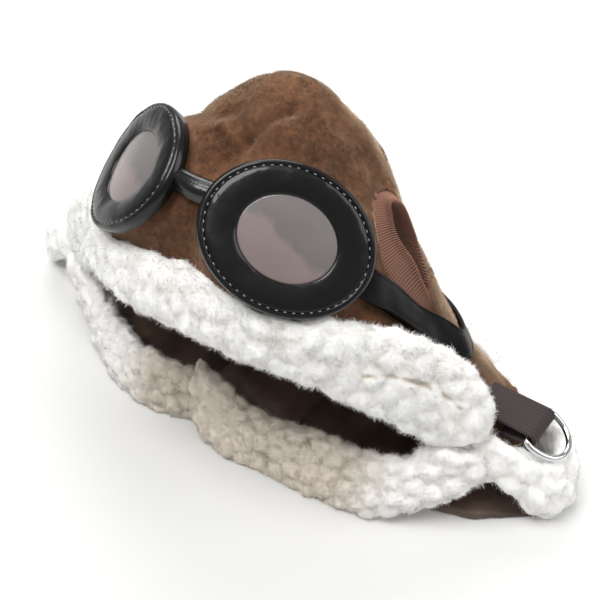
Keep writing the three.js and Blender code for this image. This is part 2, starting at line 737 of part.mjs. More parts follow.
const crown = without(hoodShell(0, -FLEECE, HOOD_AROUND, HOOD_DOWN), clothCutters);
put("crown", crown, "#6a4526", 0.95);
const satinOut = -FLEECE - GAP;
const lining = without(hoodShell(satinOut, satinOut - SATIN, HOOD_AROUND, HOOD_DOWN), clothCutters);
put("lining", lining, "#2b2019", 0.5);
put("brim_trim", without(brimBand(TRIM), goggleColumns), "#f2f0ec", 0.95);
put("chin_trim_right", chinBand(1, TRIM).subtract(brimCutter), "#dcd6cc", 0.95);
const [rightChinCutter] = chinCutters;
put("chin_trim_left", without(chinBand(-1, TRIM), [brimCutter, rightChinCutter]), "#dcd6cc", 0.95);
put("neck_trim", without(neckBand(TRIM), [brimCutter, ...chinCutters]), "#f2f0ec", 0.95);
for (const [side, word] of [[1, "right"], [-1, "left"]]) {
  put("throat_flap_" + word, without(throatFlap(side), trimCutters), "#33261e", 0.6);
  put("ear_cuff_" + word, earCuff(side), "#5a3a33", 0.9);
  put("goggle_frame_" + word, goggleFrame(side), "#101012", 0.2);
  put("lens_" + word, goggleLens(side), "#8a8280", 0.25);
}
put("goggle_bridge", goggleBridge(), "#17171a", 0.3);
put("goggle_strap", goggleStrap(), "#17171a", 0.3);
put("ring_tab", without(webbingLoop(), [hoodSkin, ...trimCutters]), "#3a2a28", 0.8);
put("d_ring", ringWire(), "#c9cbd0", 0.15, 1);

// The frame's origin is the middle of the underside
const bounds = new THREE.Box3().setFromObject(hat);
const middle = bounds.getCenter(V());
for (const piece of hat.children) piece.geometry.translate(-middle.x, -middle.y, -bounds.min.z);

export default hat;
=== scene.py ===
# Aviator hat for a pet: the visual model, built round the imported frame.
# Lengths in the tables are millimetres in the part's own frame and turn to metres when a mesh is made.

import math

import bpy
import numpy as np
from bpy.props import FloatProperty, FloatVectorProperty, PointerProperty
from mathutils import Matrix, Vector
from mathutils.bvhtree import BVHTree
from mathutils.kdtree import KDTree


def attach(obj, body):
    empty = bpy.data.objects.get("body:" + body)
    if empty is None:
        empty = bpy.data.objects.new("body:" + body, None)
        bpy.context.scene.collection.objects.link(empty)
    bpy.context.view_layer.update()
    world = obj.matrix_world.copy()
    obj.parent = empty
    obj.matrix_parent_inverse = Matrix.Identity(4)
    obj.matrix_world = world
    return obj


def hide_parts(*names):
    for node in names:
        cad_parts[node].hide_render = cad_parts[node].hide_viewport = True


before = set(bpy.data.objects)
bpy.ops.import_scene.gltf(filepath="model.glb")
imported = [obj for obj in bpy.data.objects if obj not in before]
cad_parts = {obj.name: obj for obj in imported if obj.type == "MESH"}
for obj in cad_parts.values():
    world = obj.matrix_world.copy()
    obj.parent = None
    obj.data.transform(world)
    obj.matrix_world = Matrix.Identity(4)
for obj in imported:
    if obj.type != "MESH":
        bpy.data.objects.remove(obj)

bl_info = {
    "name": "Pet aviator hat",
    "version": (1, 0, 0),
    "blender": (4, 5, 0),
    "location": "View3D > Sidebar > Hat",
    "description": "Builds a pet's aviator hat with goggles round its packed frame",
    "category": "Object",
}

MM = 0.001
TURN = 2 * math.pi
SIDES = ("right", "left")
# plane waves in a random field, how tightly they run, and what their sum is scaled by
WAVES = 14
WAVE_PACE = (0.4, 0.75)
WAVE_GAIN = 0.6


# Colour and number helpers


def linear(hex_colour):
    """An sRGB hex colour as linear red, green and blue."""
    channels = [int(hex_colour[i : i + 2], 16) / 255 for i in (1, 3, 5)]
    return tuple(c / 12.92 if c <= 0.04045 else ((c + 0.055) / 1.055) ** 2.4 for c in channels)


def vec(x, y, z):
    return np.array([x, y, z], float)


def unit(v):
    v = np.asarray(v, float)
    return v / np.maximum(np.linalg.norm(v, axis=-1, keepdims=True), 1e-12)


def smoothstep(x, low, high):
    """0 up to low, 1 from high on and smooth between."""
    t = np.clip((x - low) / (high - low), 0, 1)
    return t * t * (3 - 2 * t)


def wobble(points, size, seed):
    """A smooth random field between about -1 and 1 whose bumps are about size across."""
    rng = np.random.default_rng(seed)
    total = np.zeros(len(points))
    for _ in range(WAVES):
        direction = unit(rng.normal(size=3)) * TURN / size * rng.uniform(*WAVE_PACE)
        total += np.sin(points @ direction + rng.uniform(0, TURN))
    return total * math.sqrt(2 / WAVES) * WAVE_GAIN


def wobbles(points, rows, one_way=False):
    """Random fields added up, from rows of height, bump size and seed, all to one side when asked."""
    fields = [(height, wobble(points, size, seed)) for height, size, seed in rows]
    return sum(height * (np.abs(field) if one_way else field) for height, field in fields)


def spline(points, t, closed=False, centripetal=True):
    """A Catmull-Rom curve through points, at shares t of its spans."""
    points = np.asarray(points, float)
    count = len(points)
    place = np.asarray(t, float) * (count if closed else count - 1)
    if closed:
        cell = np.floor(place).astype(int)
        p0, p1, p2, p3 = (points[(cell + k) % count] for k in (-1, 0, 1, 2))
    else:
        cell = np.clip(np.floor(place).astype(int), 0, count - 2)
        longer = np.vstack([2 * points[0] - points[1], points, 2 * points[-1] - points[-2]])
        p0, p1, p2, p3 = (longer[cell + k] for k in (0, 1, 2, 3))
    w = (place - cell)[..., None]
    if centripetal:
        pairs = ((p0, p1), (p1, p2), (p2, p3))
        gaps = [np.sqrt(np.linalg.norm(b - a, axis=-1, keepdims=True)) + 1e-9 for a, b in pairs]
    else:
        gaps = [1.0, 1.0, 1.0]
    a, b, c = gaps
    m1 = ((p1 - p0) / a - (p2 - p0) / (a + b) + (p2 - p1) / b) * b
    m2 = ((p2 - p1) / b - (p3 - p1) / (b + c) + (p3 - p2) / c) * b
    return p1 + m1 * w + (3 * (p2 - p1) - 2 * m1 - m2) * w**2 + (2 * (p1 - p2) + m1 + m2) * w**3


# The hood's form, from the same tables as the part

# from the tables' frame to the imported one
SHIFT = vec(3.847, 8.627, 0)
SPREAD = 0.08
HALF_WIDTH = 96
# x, y, z and bearing of the crown's lower edge, from the forehead round the right side to the nape
HEM = [
    (0, -57, 84, 0),
    (21, -55.5, 83, 17),
    (38, -51, 80, 34),
    (50, -40, 75, 50),
    (61.5, -28, 69, 63),
    (75, -18, 57, 73),
    (86, -14, 44, 80),
    (94, -13, 31, 86),
    (101, -7, 25, 91),
    (104, 2, 22.5, 96),
    (98, 9, 23, 103),
    (87, 14, 25, 112),
    (69, 21.5, 26.5, 124),
    (48, 32, 26, 143),
    (25, 38, 25, 162),
    (0, 40, 25, 180),
]
PEAK = vec(2.5, -1.5, 128)
# z, and the head's reach to the sides, the front and the back
HEAD = np.array(
    [
        (128, 0, 0, 0),
        (126.5, 8, 9, 5),
        (122, 16, 20, 9),
        (113.5, 26, 33, 14),
        (102, 35, 45, 19),
        (88, 40, 53, 22.5),
        (76, 43.5, 57, 25),
        (50, 50, 62, 33),
        (21, 60, 66, 42),
    ],
    float,
)
HEAD_SQUARE_FRONT = 2.6
HEAD_SQUARE_BACK = 2
FLARE_POWER = 3
DROP_POWER = 1.6
HOOD_MIDDLE = vec(0, -5, 60)
FLEECE = 2.2
SATIN = 1.2
GAP = 0.3
# where the cloth's lower corners start and end, and how far they are drawn in and down
CORNER_SPAN = (88, 104)
CORNER_TUCK = (8, 3)
HALVINGS = 24
# from, to, reach and depth of each dent and fold; the last rows are too fine for the part
FOLDS = [
    ((0, -60, 86), (0, -30, 112), 5, 2.2),
    ((2, -44, 100), (-3, -36, 108), 7, 3),
    ((6, -38, 108), (38, -22, 108), 7, 2.5),
    ((-18, -42, 104), (-8, -40, 106), 9, -2.5),
    ((30, 6, 92), (42, 2, 78), 9, 3),
    ((1, -58, 86), (1, -40, 107), 1.2, 1.0),
    ((1, -40, 107), (3.1, -26.4, 118.2), 1.8, 1.3),
    ((3.1, -26.4, 118.2), (9.6, -13.3, 124.5), 2.2, 1.7),
    ((9.6, -13.3, 124.5), (6.5, -2.9, 127), 2.5, 1.0),
    ((-18.2, -28.4, 115.8), (-8.2, -25.8, 118.2), 2, -1.5),
    ((-8.2, -25.8, 118.2), (-1.7, -27.6, 117), 2, -1.2),
    ((-17, -22, 119.5), (-6, -20, 121.5), 2.5, 1.2),
    ((8, -36, 114), (34, -20, 113), 4, -1.0),
]

# Goggles
FRAME_HALF_WIDTH = 27
FRAME_HALF_HEIGHT = 22
LENS_SHARE = 0.57
GOGGLE_BOW = 2
SEAT_DEPTH = 1.6
SEAT_EDGE = 0.7
SEAT_BLEND = 1.22
# centre, outward direction and direction across of each goggle
GOGGLES = {
    "right": ((28, -41.5, 101.5), (0.51, -0.55, 0.66), (0.86, 0.33, -0.39)),
    "left": ((-32.5, -41, 102), (-0.54, -0.54, 0.645), (0.84, -0.34, 0.42)),
}


def goggle_axes(word):
    """Centre, across, up and out of one goggle."""
    centre, out, across = (vec(*v) for v in GOGGLES[word])
    out = unit(out)
    up = unit(np.cross(out, across))
    return centre, np.cross(up, out), up, out


def goggle_reach(points, word):
    """Each point's share of the way from the middle of a goggle to its edge."""
    centre, across, up, _ = goggle_axes(word)
    u = (points - centre) @ across / FRAME_HALF_WIDTH
    v = (points - centre) @ up / FRAME_HALF_HEIGHT
    return np.hypot(u, v)


def lay(points):
    """The lie of the hat: points on its left side spread outwards."""
    points = np.array(points, float)
    left = np.clip(-points[..., 0] / HALF_WIDTH, 0, 1)
    points[..., 0] *= 1 + SPREAD * left**2
    return points


HEM_TABLE = np.array(HEM, float)
HEM_LEFT = HEM_TABLE[-2:0:-1] * [-1, 1, 1, -1] + [0, 0, 0, 360]
HEM_ROUND = np.vstack([HEM_TABLE, HEM_LEFT])
HEM_EDGE = lay(HEM_ROUND[:, :3])
HEM_BEARINGS = np.append(HEM_ROUND[:, 3], 360)


def head_point(bearing, z):
    """The head's surface at a bearing and a height, before the hem flares out."""
    place = np.interp(-z, -HEAD[:, 0], np.arange(len(HEAD))) / (len(HEAD) - 1)
    reach = spline(HEAD[:, 1:], place, centripetal=False)
    ahead = np.cos(bearing)
    power = np.where(ahead > 0, 2 / HEAD_SQUARE_FRONT, 2 / HEAD_SQUARE_BACK)
    x = np.sign(np.sin(bearing)) * np.abs(np.sin(bearing)) ** power * reach[..., 0]
    y = -np.sign(ahead) * np.abs(ahead) ** power * np.where(ahead > 0, reach[..., 1], reach[..., 2])
    return np.stack([PEAK[0] + x, PEAK[1] + y, z], axis=-1)


def fold_offset(p):
    """How far the dents and folds move a point outwards."""
    offset = np.zeros(p.shape[:-1])
    for start, end, reach, depth in FOLDS:
        a = vec(*start)
        line = vec(*end) - a
        t = np.clip((p - a) @ line / (line @ line), 0, 1)
        distance = np.linalg.norm(p - (a + t[..., None] * line), axis=-1)
        offset -= depth * np.exp(-((distance / reach) ** 2))
    return offset


def seated(p):
    """The cloth is pressed flat under each goggle."""
    for word in GOGGLES:
        centre, across, _, out = goggle_axes(word)
        u = (p - centre) @ across / FRAME_HALF_WIDTH
        height = (p - centre) @ out
        weight = 1 - smoothstep(goggle_reach(p, word), SEAT_EDGE, SEAT_BLEND)
        weight = np.where(p[..., 1] < 0, weight, 0)
        p = p + ((-SEAT_DEPTH - GOGGLE_BOW * u * u - height) * weight)[..., None] * out
    return p


def hood_point(s, q):
    """The hood's outer surface: s goes once round from the forehead, q from the peak to the hem."""
    s = np.asarray(s, float) % 1
    q = np.asarray(q, float)
    hem = spline(HEM_EDGE, s, closed=True)
    bearing = np.radians(np.interp(s * len(HEM_EDGE), np.arange(len(HEM_BEARINGS)), HEM_BEARINGS))
    drop = q**DROP_POWER
    head = head_point(bearing, PEAK[2] + (hem[..., 2] - PEAK[2]) * drop)
    p = head + (hem - head) * (drop**FLARE_POWER)[..., None]
    p = p + unit(p - HOOD_MIDDLE) * fold_offset(p)[..., None]
    return seated(p)


def corner_tucked(points):
    """The cloth's two lower corners drawn in, so that the neck rim covers them."""
    points = points.copy()
    near = smoothstep(np.abs(points[:, 0]), *CORNER_SPAN)
    points[:, 0] -= np.sign(points[:, 0]) * CORNER_TUCK[0] * near
    points[:, 2] -= CORNER_TUCK[1] * near
    return points


def hood_normal(s, q):
    """The hood's outward direction, from points a step to each side."""
    step = 0.004
    q = np.maximum(np.asarray(q, float), 2 * step)
    round_way = hood_point(s + step, q) - hood_point(s - step, q)
    down = hood_point(s, np.minimum(1, q + step)) - hood_point(s, q - step)
    return unit(np.cross(down, round_way))


def hood_at_height(s, z, distance):
    """The hood's point and normal at a share of the way round and a height, by halving."""
    low, high = 0.0, 1.0
    for _ in range(HALVINGS):
        q = (low + high) / 2
        if hood_point(s, q)[2] > z:
            low = q
        else:
            high = q
    normal = hood_normal(s, low)
    return hood_point(s, low) + normal * distance, normal


# Mesh helpers

FIBRE_TAPER = 0.8


def mesh_object(name, points, faces, smooth=True):
    """A new object from points in millimetres of the part's unshifted frame."""
    mesh = bpy.data.meshes.new(name)
    mesh.from_pydata(((np.asarray(points) + SHIFT) * MM).tolist(), [], [tuple(f) for f in faces])
    mesh.polygons.foreach_set("use_smooth", [smooth] * len(mesh.polygons))
    mesh.update()
    obj = bpy.data.objects.new(name, mesh)
    bpy.context.scene.collection.objects.link(obj)
    return obj


def shade_along(obj, normals):
    """Lights a piece by given normals; a zero keeps the mesh's own."""
    obj.data.normals_split_custom_set_from_vertices(np.asarray(normals).tolist())


def attribute(obj, name, values):
    """A number for each point of the mesh, which a material reads."""
    layer = obj.data.attributes.new(name, "FLOAT", "POINT")
    layer.data.foreach_set("value", np.asarray(values, np.float32))


def dress(obj, material, body, nodes=()):
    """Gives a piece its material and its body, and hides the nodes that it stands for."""
    obj.data.materials.clear()
    obj.data.materials.append(material)
    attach(obj, body)
    if nodes:
        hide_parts(*nodes)
    return obj


def grid_faces(rows, columns, wrap_rows=False, wrap_columns=False):
    """Quads over a grid whose points are numbered row by row."""
    r = np.arange(rows if wrap_rows else rows - 1)
    c = np.arange(columns if wrap_columns else columns - 1)
    r, c = (g.ravel() for g in np.meshgrid(r, c, indexing="ij"))
    down, right = (r + 1) % rows, (c + 1) % columns
    corners = [r * columns + c, down * columns + c, down * columns + right, r * columns + right]
    return np.stack(corners, axis=1)


def shell(outer, inner, faces):
    """Two matching sheets joined by a wall along every free edge."""
    count = len(outer)
    edges = {}
    for face in faces:
        corners = len(face)
        for i in range(corners):
            a, b = int(face[i]), int(face[(i + 1) % corners])
            if (b, a) in edges:
                del edges[(b, a)]
            else:
                edges[(a, b)] = True
    walls = [(b, a, a + count, b + count) for a, b in edges]
    turned = [tuple(int(v) + count for v in reversed(face)) for face in faces]
    return np.vstack([outer, inner]), [tuple(int(v) for v in f) for f in faces] + turned + walls


def sweep(sections, closed=True):
    """Points and faces of a tube through sections of equal point counts, capped when it is open."""
    sections = np.asarray(sections, float)
    count, sides = sections.shape[:2]
    faces = [tuple(f) for f in grid_faces(count, sides, wrap_rows=closed, wrap_columns=True)]
    if not closed:
        faces.append(tuple(range(sides)))
        faces.append(tuple(range(count * sides - 1, (count - 1) * sides - 1, -1)))
    return sections.reshape(-1, 3), faces


def facing_out(obj):
    """Turns a closed mesh's faces outwards."""
    bpy.context.view_layer.objects.active = obj
    for other in bpy.context.selected_objects:
        other.select_set(False)
    obj.select_set(True)
    bpy.ops.object.mode_set(mode="EDIT")
    bpy.ops.mesh.select_all(action="SELECT")
    bpy.ops.mesh.normals_make_consistent(inside=False)
    bpy.ops.object.mode_set(mode="OBJECT")
    obj.select_set(False)
    return obj


def soft_points(node, voxel, rounds):
    """A node's form as an even mesh with rounded facets: points in millimetres, normals, faces."""
    obj = bpy.data.objects.new(node + "_form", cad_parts[node].data.copy())
    bpy.context.scene.collection.objects.link(obj)
    remesh = obj.modifiers.new("even", "REMESH")
    remesh.mode = "VOXEL"
    remesh.voxel_size = voxel * MM
    round_off = obj.modifiers.new("round", "SMOOTH")
    round_off.factor = 0.5
    round_off.iterations = rounds
    evaluated = obj.evaluated_get(bpy.context.evaluated_depsgraph_get())
    mesh = bpy.data.meshes.new_from_object(evaluated)
    points = np.empty(len(mesh.vertices) * 3)
    normals = np.empty(len(mesh.vertices) * 3)
    mesh.vertices.foreach_get("co", points)
    mesh.vertices.foreach_get("normal", normals)
    faces = [tuple(p.vertices) for p in mesh.polygons]
    bpy.data.objects.remove(obj)
    bpy.data.meshes.remove(mesh)
    return points.reshape(-1, 3) / MM - SHIFT, normals.reshape(-1, 3), faces


def triangles_of(faces):
    """Triangles and quads as triangles, the quads' second halves last."""
    return np.array([f[:3] for f in faces] + [(f[0], f[2], f[3]) for f in faces if len(f) == 4])


def point_normals(points, faces):
    """The outward direction at each point of a mesh."""
    corners = triangles_of(faces)
    a, b, c = (points[corners[:, i]] for i in range(3))
    across = np.cross(b - a, c - a)
    normals = np.zeros_like(points)
    for i in range(3):
        np.add.at(normals, corners[:, i], across)
    return unit(normals)


def level(directions, out):
    """Directions laid flat on the surface that out points away from."""
    return directions - out * np.sum(directions * out, axis=1, keepdims=True)


def scattered(points, normals, faces, count, rng):
    """Random places on a surface with their normals, evenly by area."""
    corners = triangles_of(faces)
    a, b, c = (points[corners[:, i]] for i in range(3))
    area = np.linalg.norm(np.cross(b - a, c - a), axis=1)
    pick = rng.choice(len(corners), count, p=area / area.sum())
    u, v = rng.random((2, count))
    over = u + v > 1
    u[over], v[over] = 1 - u[over], 1 - v[over]
    w = 1 - u - v
    place = w[:, None] * a[pick] + u[:, None] * b[pick] + v[:, None] * c[pick]
    na, nb, nc = (normals[corners[pick, i]] for i in range(3))
    return place, unit(w[:, None] * na + u[:, None] * nb + v[:, None] * nc)


def fibre_strips(roots, out, first, second, length, width):
    """Bent flat fibres that face outwards and taper to a tip: points, faces, shares from the root."""
    count = len(roots)
    side = unit(np.cross(unit(first), out)) * width[:, None] / 2
    slimmer = side * FIBRE_TAPER
    middle = roots + unit(first) * length[:, None] * 0.5
    tip = middle + unit(second) * length[:, None] * 0.5
    points = np.stack([roots + side, roots - side, middle + slimmer, middle - slimmer, tip], axis=1)
    start = np.arange(count)[:, None] * 5
    quads = (start + [0, 2, 3, 1]).tolist()
    tips = (start + [2, 4, 3]).tolist()
    share = np.tile([0, 0, 0.5, 0.5, 1], count)
    return points.reshape(-1, 3), quads + tips, share


def joined(parts):
    """Meshes given as (points, faces, values) put into one."""
    points, faces, values, start = [], [], [], 0
    for part_points, part_faces, part_values in parts:
        points.append(part_points)
        values.append(part_values)
        faces.extend(tuple(v + start for v in f) for f in part_faces)
        start += len(part_points)
    return np.vstack(points), faces, np.concatenate(values)


def node_tree(*nodes):
    """Nodes of the frame as one tree for distances, in millimetres of the unshifted frame."""
    points, faces, start = [], [], 0
    for node in nodes:
        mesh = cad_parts[node].data
        points += [tuple(v.co / MM - Vector(SHIFT)) for v in mesh.vertices]
        faces += [tuple(i + start for i in p.vertices) for p in mesh.polygons]
        start = len(points)
    return BVHTree.FromPolygons(points, faces)


def depth_in(tree, points):
    """How deep each point lies inside the tree's closed form; outside it is negative."""
    depth = np.empty(len(points))
    for i, p in enumerate(points):
        place, normal, _, distance = tree.find_nearest(Vector(p))
        depth[i] = distance if (Vector(p) - place).dot(normal) < 0 else -distance
    return depth


def largest_part(faces):
    """The faces that hang together in the largest group."""
    owner = {}

    def find(v):
        while owner.setdefault(v, v) != v:
            owner[v] = owner[owner[v]]
            v = owner[v]
        return v

    for face in faces:
        for v in face[1:]:
            owner[find(v)] = find(face[0])
    groups = {}
    for face in faces:
        groups.setdefault(find(face[0]), []).append(face)
    return max(groups.values(), key=len)


def tree_of(places):
    """A tree that finds the nearest of some places."""
    tree = KDTree(len(places))
    for i, place in enumerate(places):
        tree.insert(place, i)
    tree.balance()
    return tree


def nearest_two(points, seeds):
    """Distances to the nearest and next nearest seed, and the nearest one's number."""
    tree = tree_of(seeds)
    found = [tree.find_n(p, 2) for p in points]
    first, second, owner = ([f[i][j] for f in found] for i, j in ((0, 2), (1, 2), (0, 1)))
    return np.array(first), np.array(second), np.array(owner)


# Materials


def wire(tree, node, inputs):
    """Sets a node's inputs to values, or links them from sockets or from other nodes' results."""
    for name, value in inputs.items():
        socket = node.inputs[name]
        if isinstance(name, str):
            socket = next(s for s in node.inputs if s.name == name and s.enabled)
        if isinstance(value, bpy.types.Node):
            value = value.outputs.get("Fac") or next(s for s in value.outputs if s.enabled)
        if isinstance(value, bpy.types.NodeSocket):
            tree.links.new(value, socket)
        else:
            socket.default_value = value


def add_node(tree, kind, inputs=None, **settings):
    """Adds a shader node with its settings, and its inputs as values or links."""
    node = tree.nodes.new("ShaderNode" + kind)
    for name, value in settings.items():
        setattr(node, name, value)
    wire(tree, node, inputs or {})
    return node


def new_material(name, colour, roughness, **surface):
    """A material with its main shader, and the tree to add to."""
    material = bpy.data.materials.new(name)
    material.use_nodes = True
    tree = material.node_tree
    shader = tree.nodes["Principled BSDF"]
    wire(tree, shader, {"Base Color": (*colour, 1), "Roughness": roughness})
    wire(tree, shader, {socket.replace("_", " "): value for socket, value in surface.items()})
    return material, tree, shader


def object_place(tree):
    """The place on the piece in millimetres, for patterns."""
    place = add_node(tree, "TexCoord").outputs["Object"]
    return add_node(tree, "VectorMath", {0: place, 1: (1 / MM, 1 / MM, 1 / MM)}, operation="MULTIPLY")


def ramp(tree, factor, stops):
    """A colour ramp through (place, colour) stops."""
    node = add_node(tree, "ValToRGB", {"Fac": factor})
    while len(node.color_ramp.elements) < len(stops):
        node.color_ramp.elements.new(0.5)
    for element, (place, colour) in zip(node.color_ramp.elements, stops):
        element.position = place
        element.color = (*colour, 1)
    return node


def shade(colour, factor):
    """A colour made darker or lighter."""
    return tuple(min(1, c * factor) for c in colour)


def brushed_fleece(colour):
    # Polyester knitted then brushed: the nap breaks up the light and pales where it is seen edge on
    tint = (*linear("#d9bfa0"), 1)
    material, tree, shader = new_material(
        "brushed polyester fleece", colour, 0.95, Sheen_Weight=1.0, Sheen_Roughness=0.4, Sheen_Tint=tint
    )
    place = object_place(tree)
    patch_mm, nap_mm = 15, 2.2
    patches = add_node(tree, "TexNoise", {"Vector": place, "Scale": 1 / patch_mm, "Detail": 4.0})
    nap = add_node(tree, "TexNoise", {"Vector": place, "Scale": 1 / nap_mm, "Detail": 3.0})
    both = add_node(tree, "Math", {0: patches, 1: nap}, operation="ADD")
    half = add_node(tree, "Math", {0: both, 1: 0.5}, operation="MULTIPLY")
    stops = [(0.37, shade(colour, 0.68)), (0.5, colour), (0.63, shade(colour, 1.5))]
    bump = add_node(tree, "Bump", {"Height": nap, "Distance": 0.4 * MM, "Strength": 0.5})
    wire(tree, shader, {"Base Color": ramp(tree, half, stops), "Normal": bump})
    return material


def woven_satin(colour):
    # Polyester satin: smooth float threads that give broad soft highlights on the folds, plus painted
    # highlight on fold crests and painted shade in the hollows
    tint = (*linear("#7d6a5c"), 1)
    material, tree, shader = new_material(
        "woven polyester satin", colour, 0.42, Sheen_Weight=0.25, Sheen_Tint=tint
    )
    place = object_place(tree)
    fold_mm, thread_mm = 14, 0.5
    folds = add_node(tree, "TexNoise", {"Vector": place, "Scale": 1 / fold_mm, "Detail": 2.0})
    threads = add_node(tree, "TexNoise", {"Vector": place, "Scale": 1 / thread_mm, "Detail": 1.0})
    # the colour follows the folds: painted shade in their hollows, painted highlight on their crests
    stops = [(0.35, shade(colour, 0.6)), (0.7, shade(colour, 1.7))]
    big = add_node(tree, "Bump", {"Height": folds, "Distance": 2.5 * MM, "Strength": 0.7})
    weave = {"Height": threads, "Distance": 0.1 * MM, "Strength": 0.4, "Normal": big}
    fine = add_node(tree, "Bump", weave)
    wire(tree, shader, {"Base Color": ramp(tree, folds, stops), "Normal": fine})
    return material


def curled_pile(name, colour, painted_crease_shade, second_colour):
    # Sherpa pile, looped polyester that has curled into clumps: painted highlight on the tips, soft
    # painted shade in the creases
    glow = {"Subsurface_Weight": 0.3, "Subsurface_Scale": 2 * MM}
    glow["Subsurface_Radius"] = (1, 0.97, 0.92)
    material, tree, shader = new_material(name, colour, 0.9, Sheen_Weight=0.3, **glow)
    place = object_place(tree)
    fibre_mm, blotch_mm = 0.7, 11
    # the 'pile' attribute: painted shade in the creases and at fibre roots, painted light on clump tops
    # and fibre tips
    depth = add_node(tree, "Attribute", attribute_name="pile")
    second = add_node(tree, "Attribute", attribute_name="second")
    fibres = add_node(tree, "TexNoise", {"Vector": place, "Scale": 1 / fibre_mm, "Detail": 3.0})
    blotches = add_node(tree, "TexNoise", {"Vector": place, "Scale": 1 / blotch_mm, "Detail": 1.0})
    lifted = add_node(tree, "Math", {0: blotches, 1: 1.6, 2: -0.8}, operation="MULTIPLY_ADD")
    both = add_node(tree, "Math", {0: depth, 1: lifted}, operation="ADD")
    # from the creases' painted shade up to painted light on the clumps' tops
    tint = ramp(tree, both, [(0.0, painted_crease_shade), (0.5, colour), (1.0, shade(colour, 1.04))])
    tones = {"Factor": second, "A": tint, "B": (*second_colour, 1)}
    mixed = add_node(tree, "Mix", tones, data_type="RGBA")
    bump = add_node(tree, "Bump", {"Height": fibres, "Distance": 0.4 * MM, "Strength": 0.3})
    wire(tree, shader, {"Base Color": mixed, "Normal": bump})
    return material


def rib_knit(colour):
    # Acrylic rib knit: matt yarn, with painted shade between the ribs and painted light on their tops
    tint = (*linear("#b98f80"), 1)
    material, tree, shader = new_material(
        "acrylic rib knit", colour, 0.88, Sheen_Weight=0.4, Sheen_Tint=tint
    )
    place = object_place(tree)
    yarn_mm = 0.4
    depth = add_node(tree, "Attribute", attribute_name="rib")
    stops = [(0.0, shade(colour, 0.5)), (0.6, colour), (1.0, shade(colour, 1.4))]
    yarn = add_node(tree, "TexNoise", {"Vector": place, "Scale": 1 / yarn_mm, "Detail": 2.0})
    bump = add_node(tree, "Bump", {"Height": yarn, "Distance": 0.2 * MM, "Strength": 0.5})
    wire(tree, shader, {"Base Color": ramp(tree, depth, stops), "Normal": bump})
    return material


def patent_leather(colour):
    # Coated split leather: a smooth gloss coat over faint wrinkles and a fine grain
    material, tree, shader = new_material(
        "patent leather", colour, 0.35, Coat_Weight=0.38, Coat_Roughness=0.06, Specular_IOR_Level=0.2
    )
    place = object_place(tree)
    wrinkle_mm, grain_mm = 9, 0.7
    creasing = {"Vector": place, "Scale": 1 / wrinkle_mm, "Detail": 2.0, "Distortion": 0.6}
    wrinkles = add_node(tree, "TexNoise", creasing)
    grain = add_node(tree, "TexVoronoi", {"Vector": place, "Scale": 1 / grain_mm})
    broad = add_node(tree, "Bump", {"Height": wrinkles, "Distance": 0.5 * MM, "Strength": 0.3})
    pores = {"Height": grain, "Distance": 0.05 * MM, "Strength": 0.35, "Normal": broad}
    wire(tree, shader, {"Normal": add_node(tree, "Bump", pores), "Coat Normal": broad})
    return material


def grained_leather(colour, gloss):
    # Coated split leather with an embossed pebble grain: black, with a broken broad sheen
    material, tree, shader = new_material(
        "grained leather", colour, 0.4, Coat_Weight=gloss, Coat_Roughness=0.2, Specular_IOR_Level=0.1
    )
    pebble_mm = 0.8
    pebbles = add_node(tree, "TexVoronoi", {"Vector": object_place(tree), "Scale": 1 / pebble_mm})
    bump = add_node(tree, "Bump", {"Height": pebbles, "Distance": 0.12 * MM, "Strength": 0.35})
    wire(tree, shader, {"Normal": bump, "Coat Normal": bump})
    return material


def tinted_vinyl(colour):
    # Pressed PVC sheet: grey, warmer on one half, with a faint haze; the halves are a painted
    # reflection split along a slanted line
    material, tree, shader = new_material(
        "pressed vinyl sheet", colour, 0.3, Coat_Weight=0.4, Coat_Roughness=0.15
    )
    place = object_place(tree)
    haze_mm, haze_share, warmth = 6, 0.3, (1.25, 1.08, 1.06)
    haze = add_node(tree, "TexNoise", {"Vector": place, "Scale": 1 / haze_mm, "Detail": 3.0})
    slant = add_node(tree, "Attribute", attribute_name="slant")
    soft = add_node(tree, "Math", {0: haze, 1: haze_share}, operation="MULTIPLY")
    mixed = add_node(tree, "Math", {0: slant, 1: soft}, operation="ADD")
    warm = tuple(c * f for c, f in zip(colour, warmth))
    # painted reflection: the warm side lightens towards the split, the grey side lightens towards the
    # rim
    stops = [(0.3, warm), (0.58, shade(warm, 1.12))]
    stops += [(0.68, shade(colour, 0.92)), (1.0, shade(colour, 1.1))]
    bump = add_node(tree, "Bump", {"Height": haze, "Distance": 0.15 * MM, "Strength": 0.3})
    wire(tree, shader, {"Base Color": ramp(tree, mixed, stops), "Normal": bump})
    return material


def nylon_webbing(colour):
    # Woven nylon tape: ribs along its length crossed by a fine weave, with painted shade between the
    # ribs and painted light on their tops
    tint = (*linear("#9a8583"), 1)
    material, tree, shader = new_material(
        "woven nylon webbing", colour, 0.7, Sheen_Weight=0.15, Sheen_Tint=tint
    )
    weft_mm = 0.6
    depth = add_node(tree, "Attribute", attribute_name="rib")
    stops = [(0.0, shade(colour, 0.75)), (0.6, colour), (1.0, shade(colour, 1.2))]
    crossing = {"Vector": object_place(tree), "Scale": 1 / (weft_mm * TURN), "Distortion": 1.0}
    weft = add_node(tree, "TexWave", crossing)
    bump = add_node(tree, "Bump", {"Height": weft, "Distance": 0.15 * MM, "Strength": 0.15})
    wire(tree, shader, {"Base Color": ramp(tree, depth, stops), "Normal": bump})
    return material


def nickel_plate():
    # Bent steel wire, nickel plated and polished: mirror bright with a faint uneven blur
    material, tree, shader = new_material("nickel plated steel", linear("#d8d9da"), 0.12, Metallic=1.0)
    place = object_place(tree)
    blur_mm = 1.5
    wear = add_node(tree, "TexNoise", {"Vector": place, "Scale": 1 / blur_mm, "Detail": 3.0})
    blur = add_node(tree, "MapRange", {"Value": wear, "To Min": 0.06, "To Max": 0.2})
    wire(tree, shader, {"Roughness": blur})
    return material


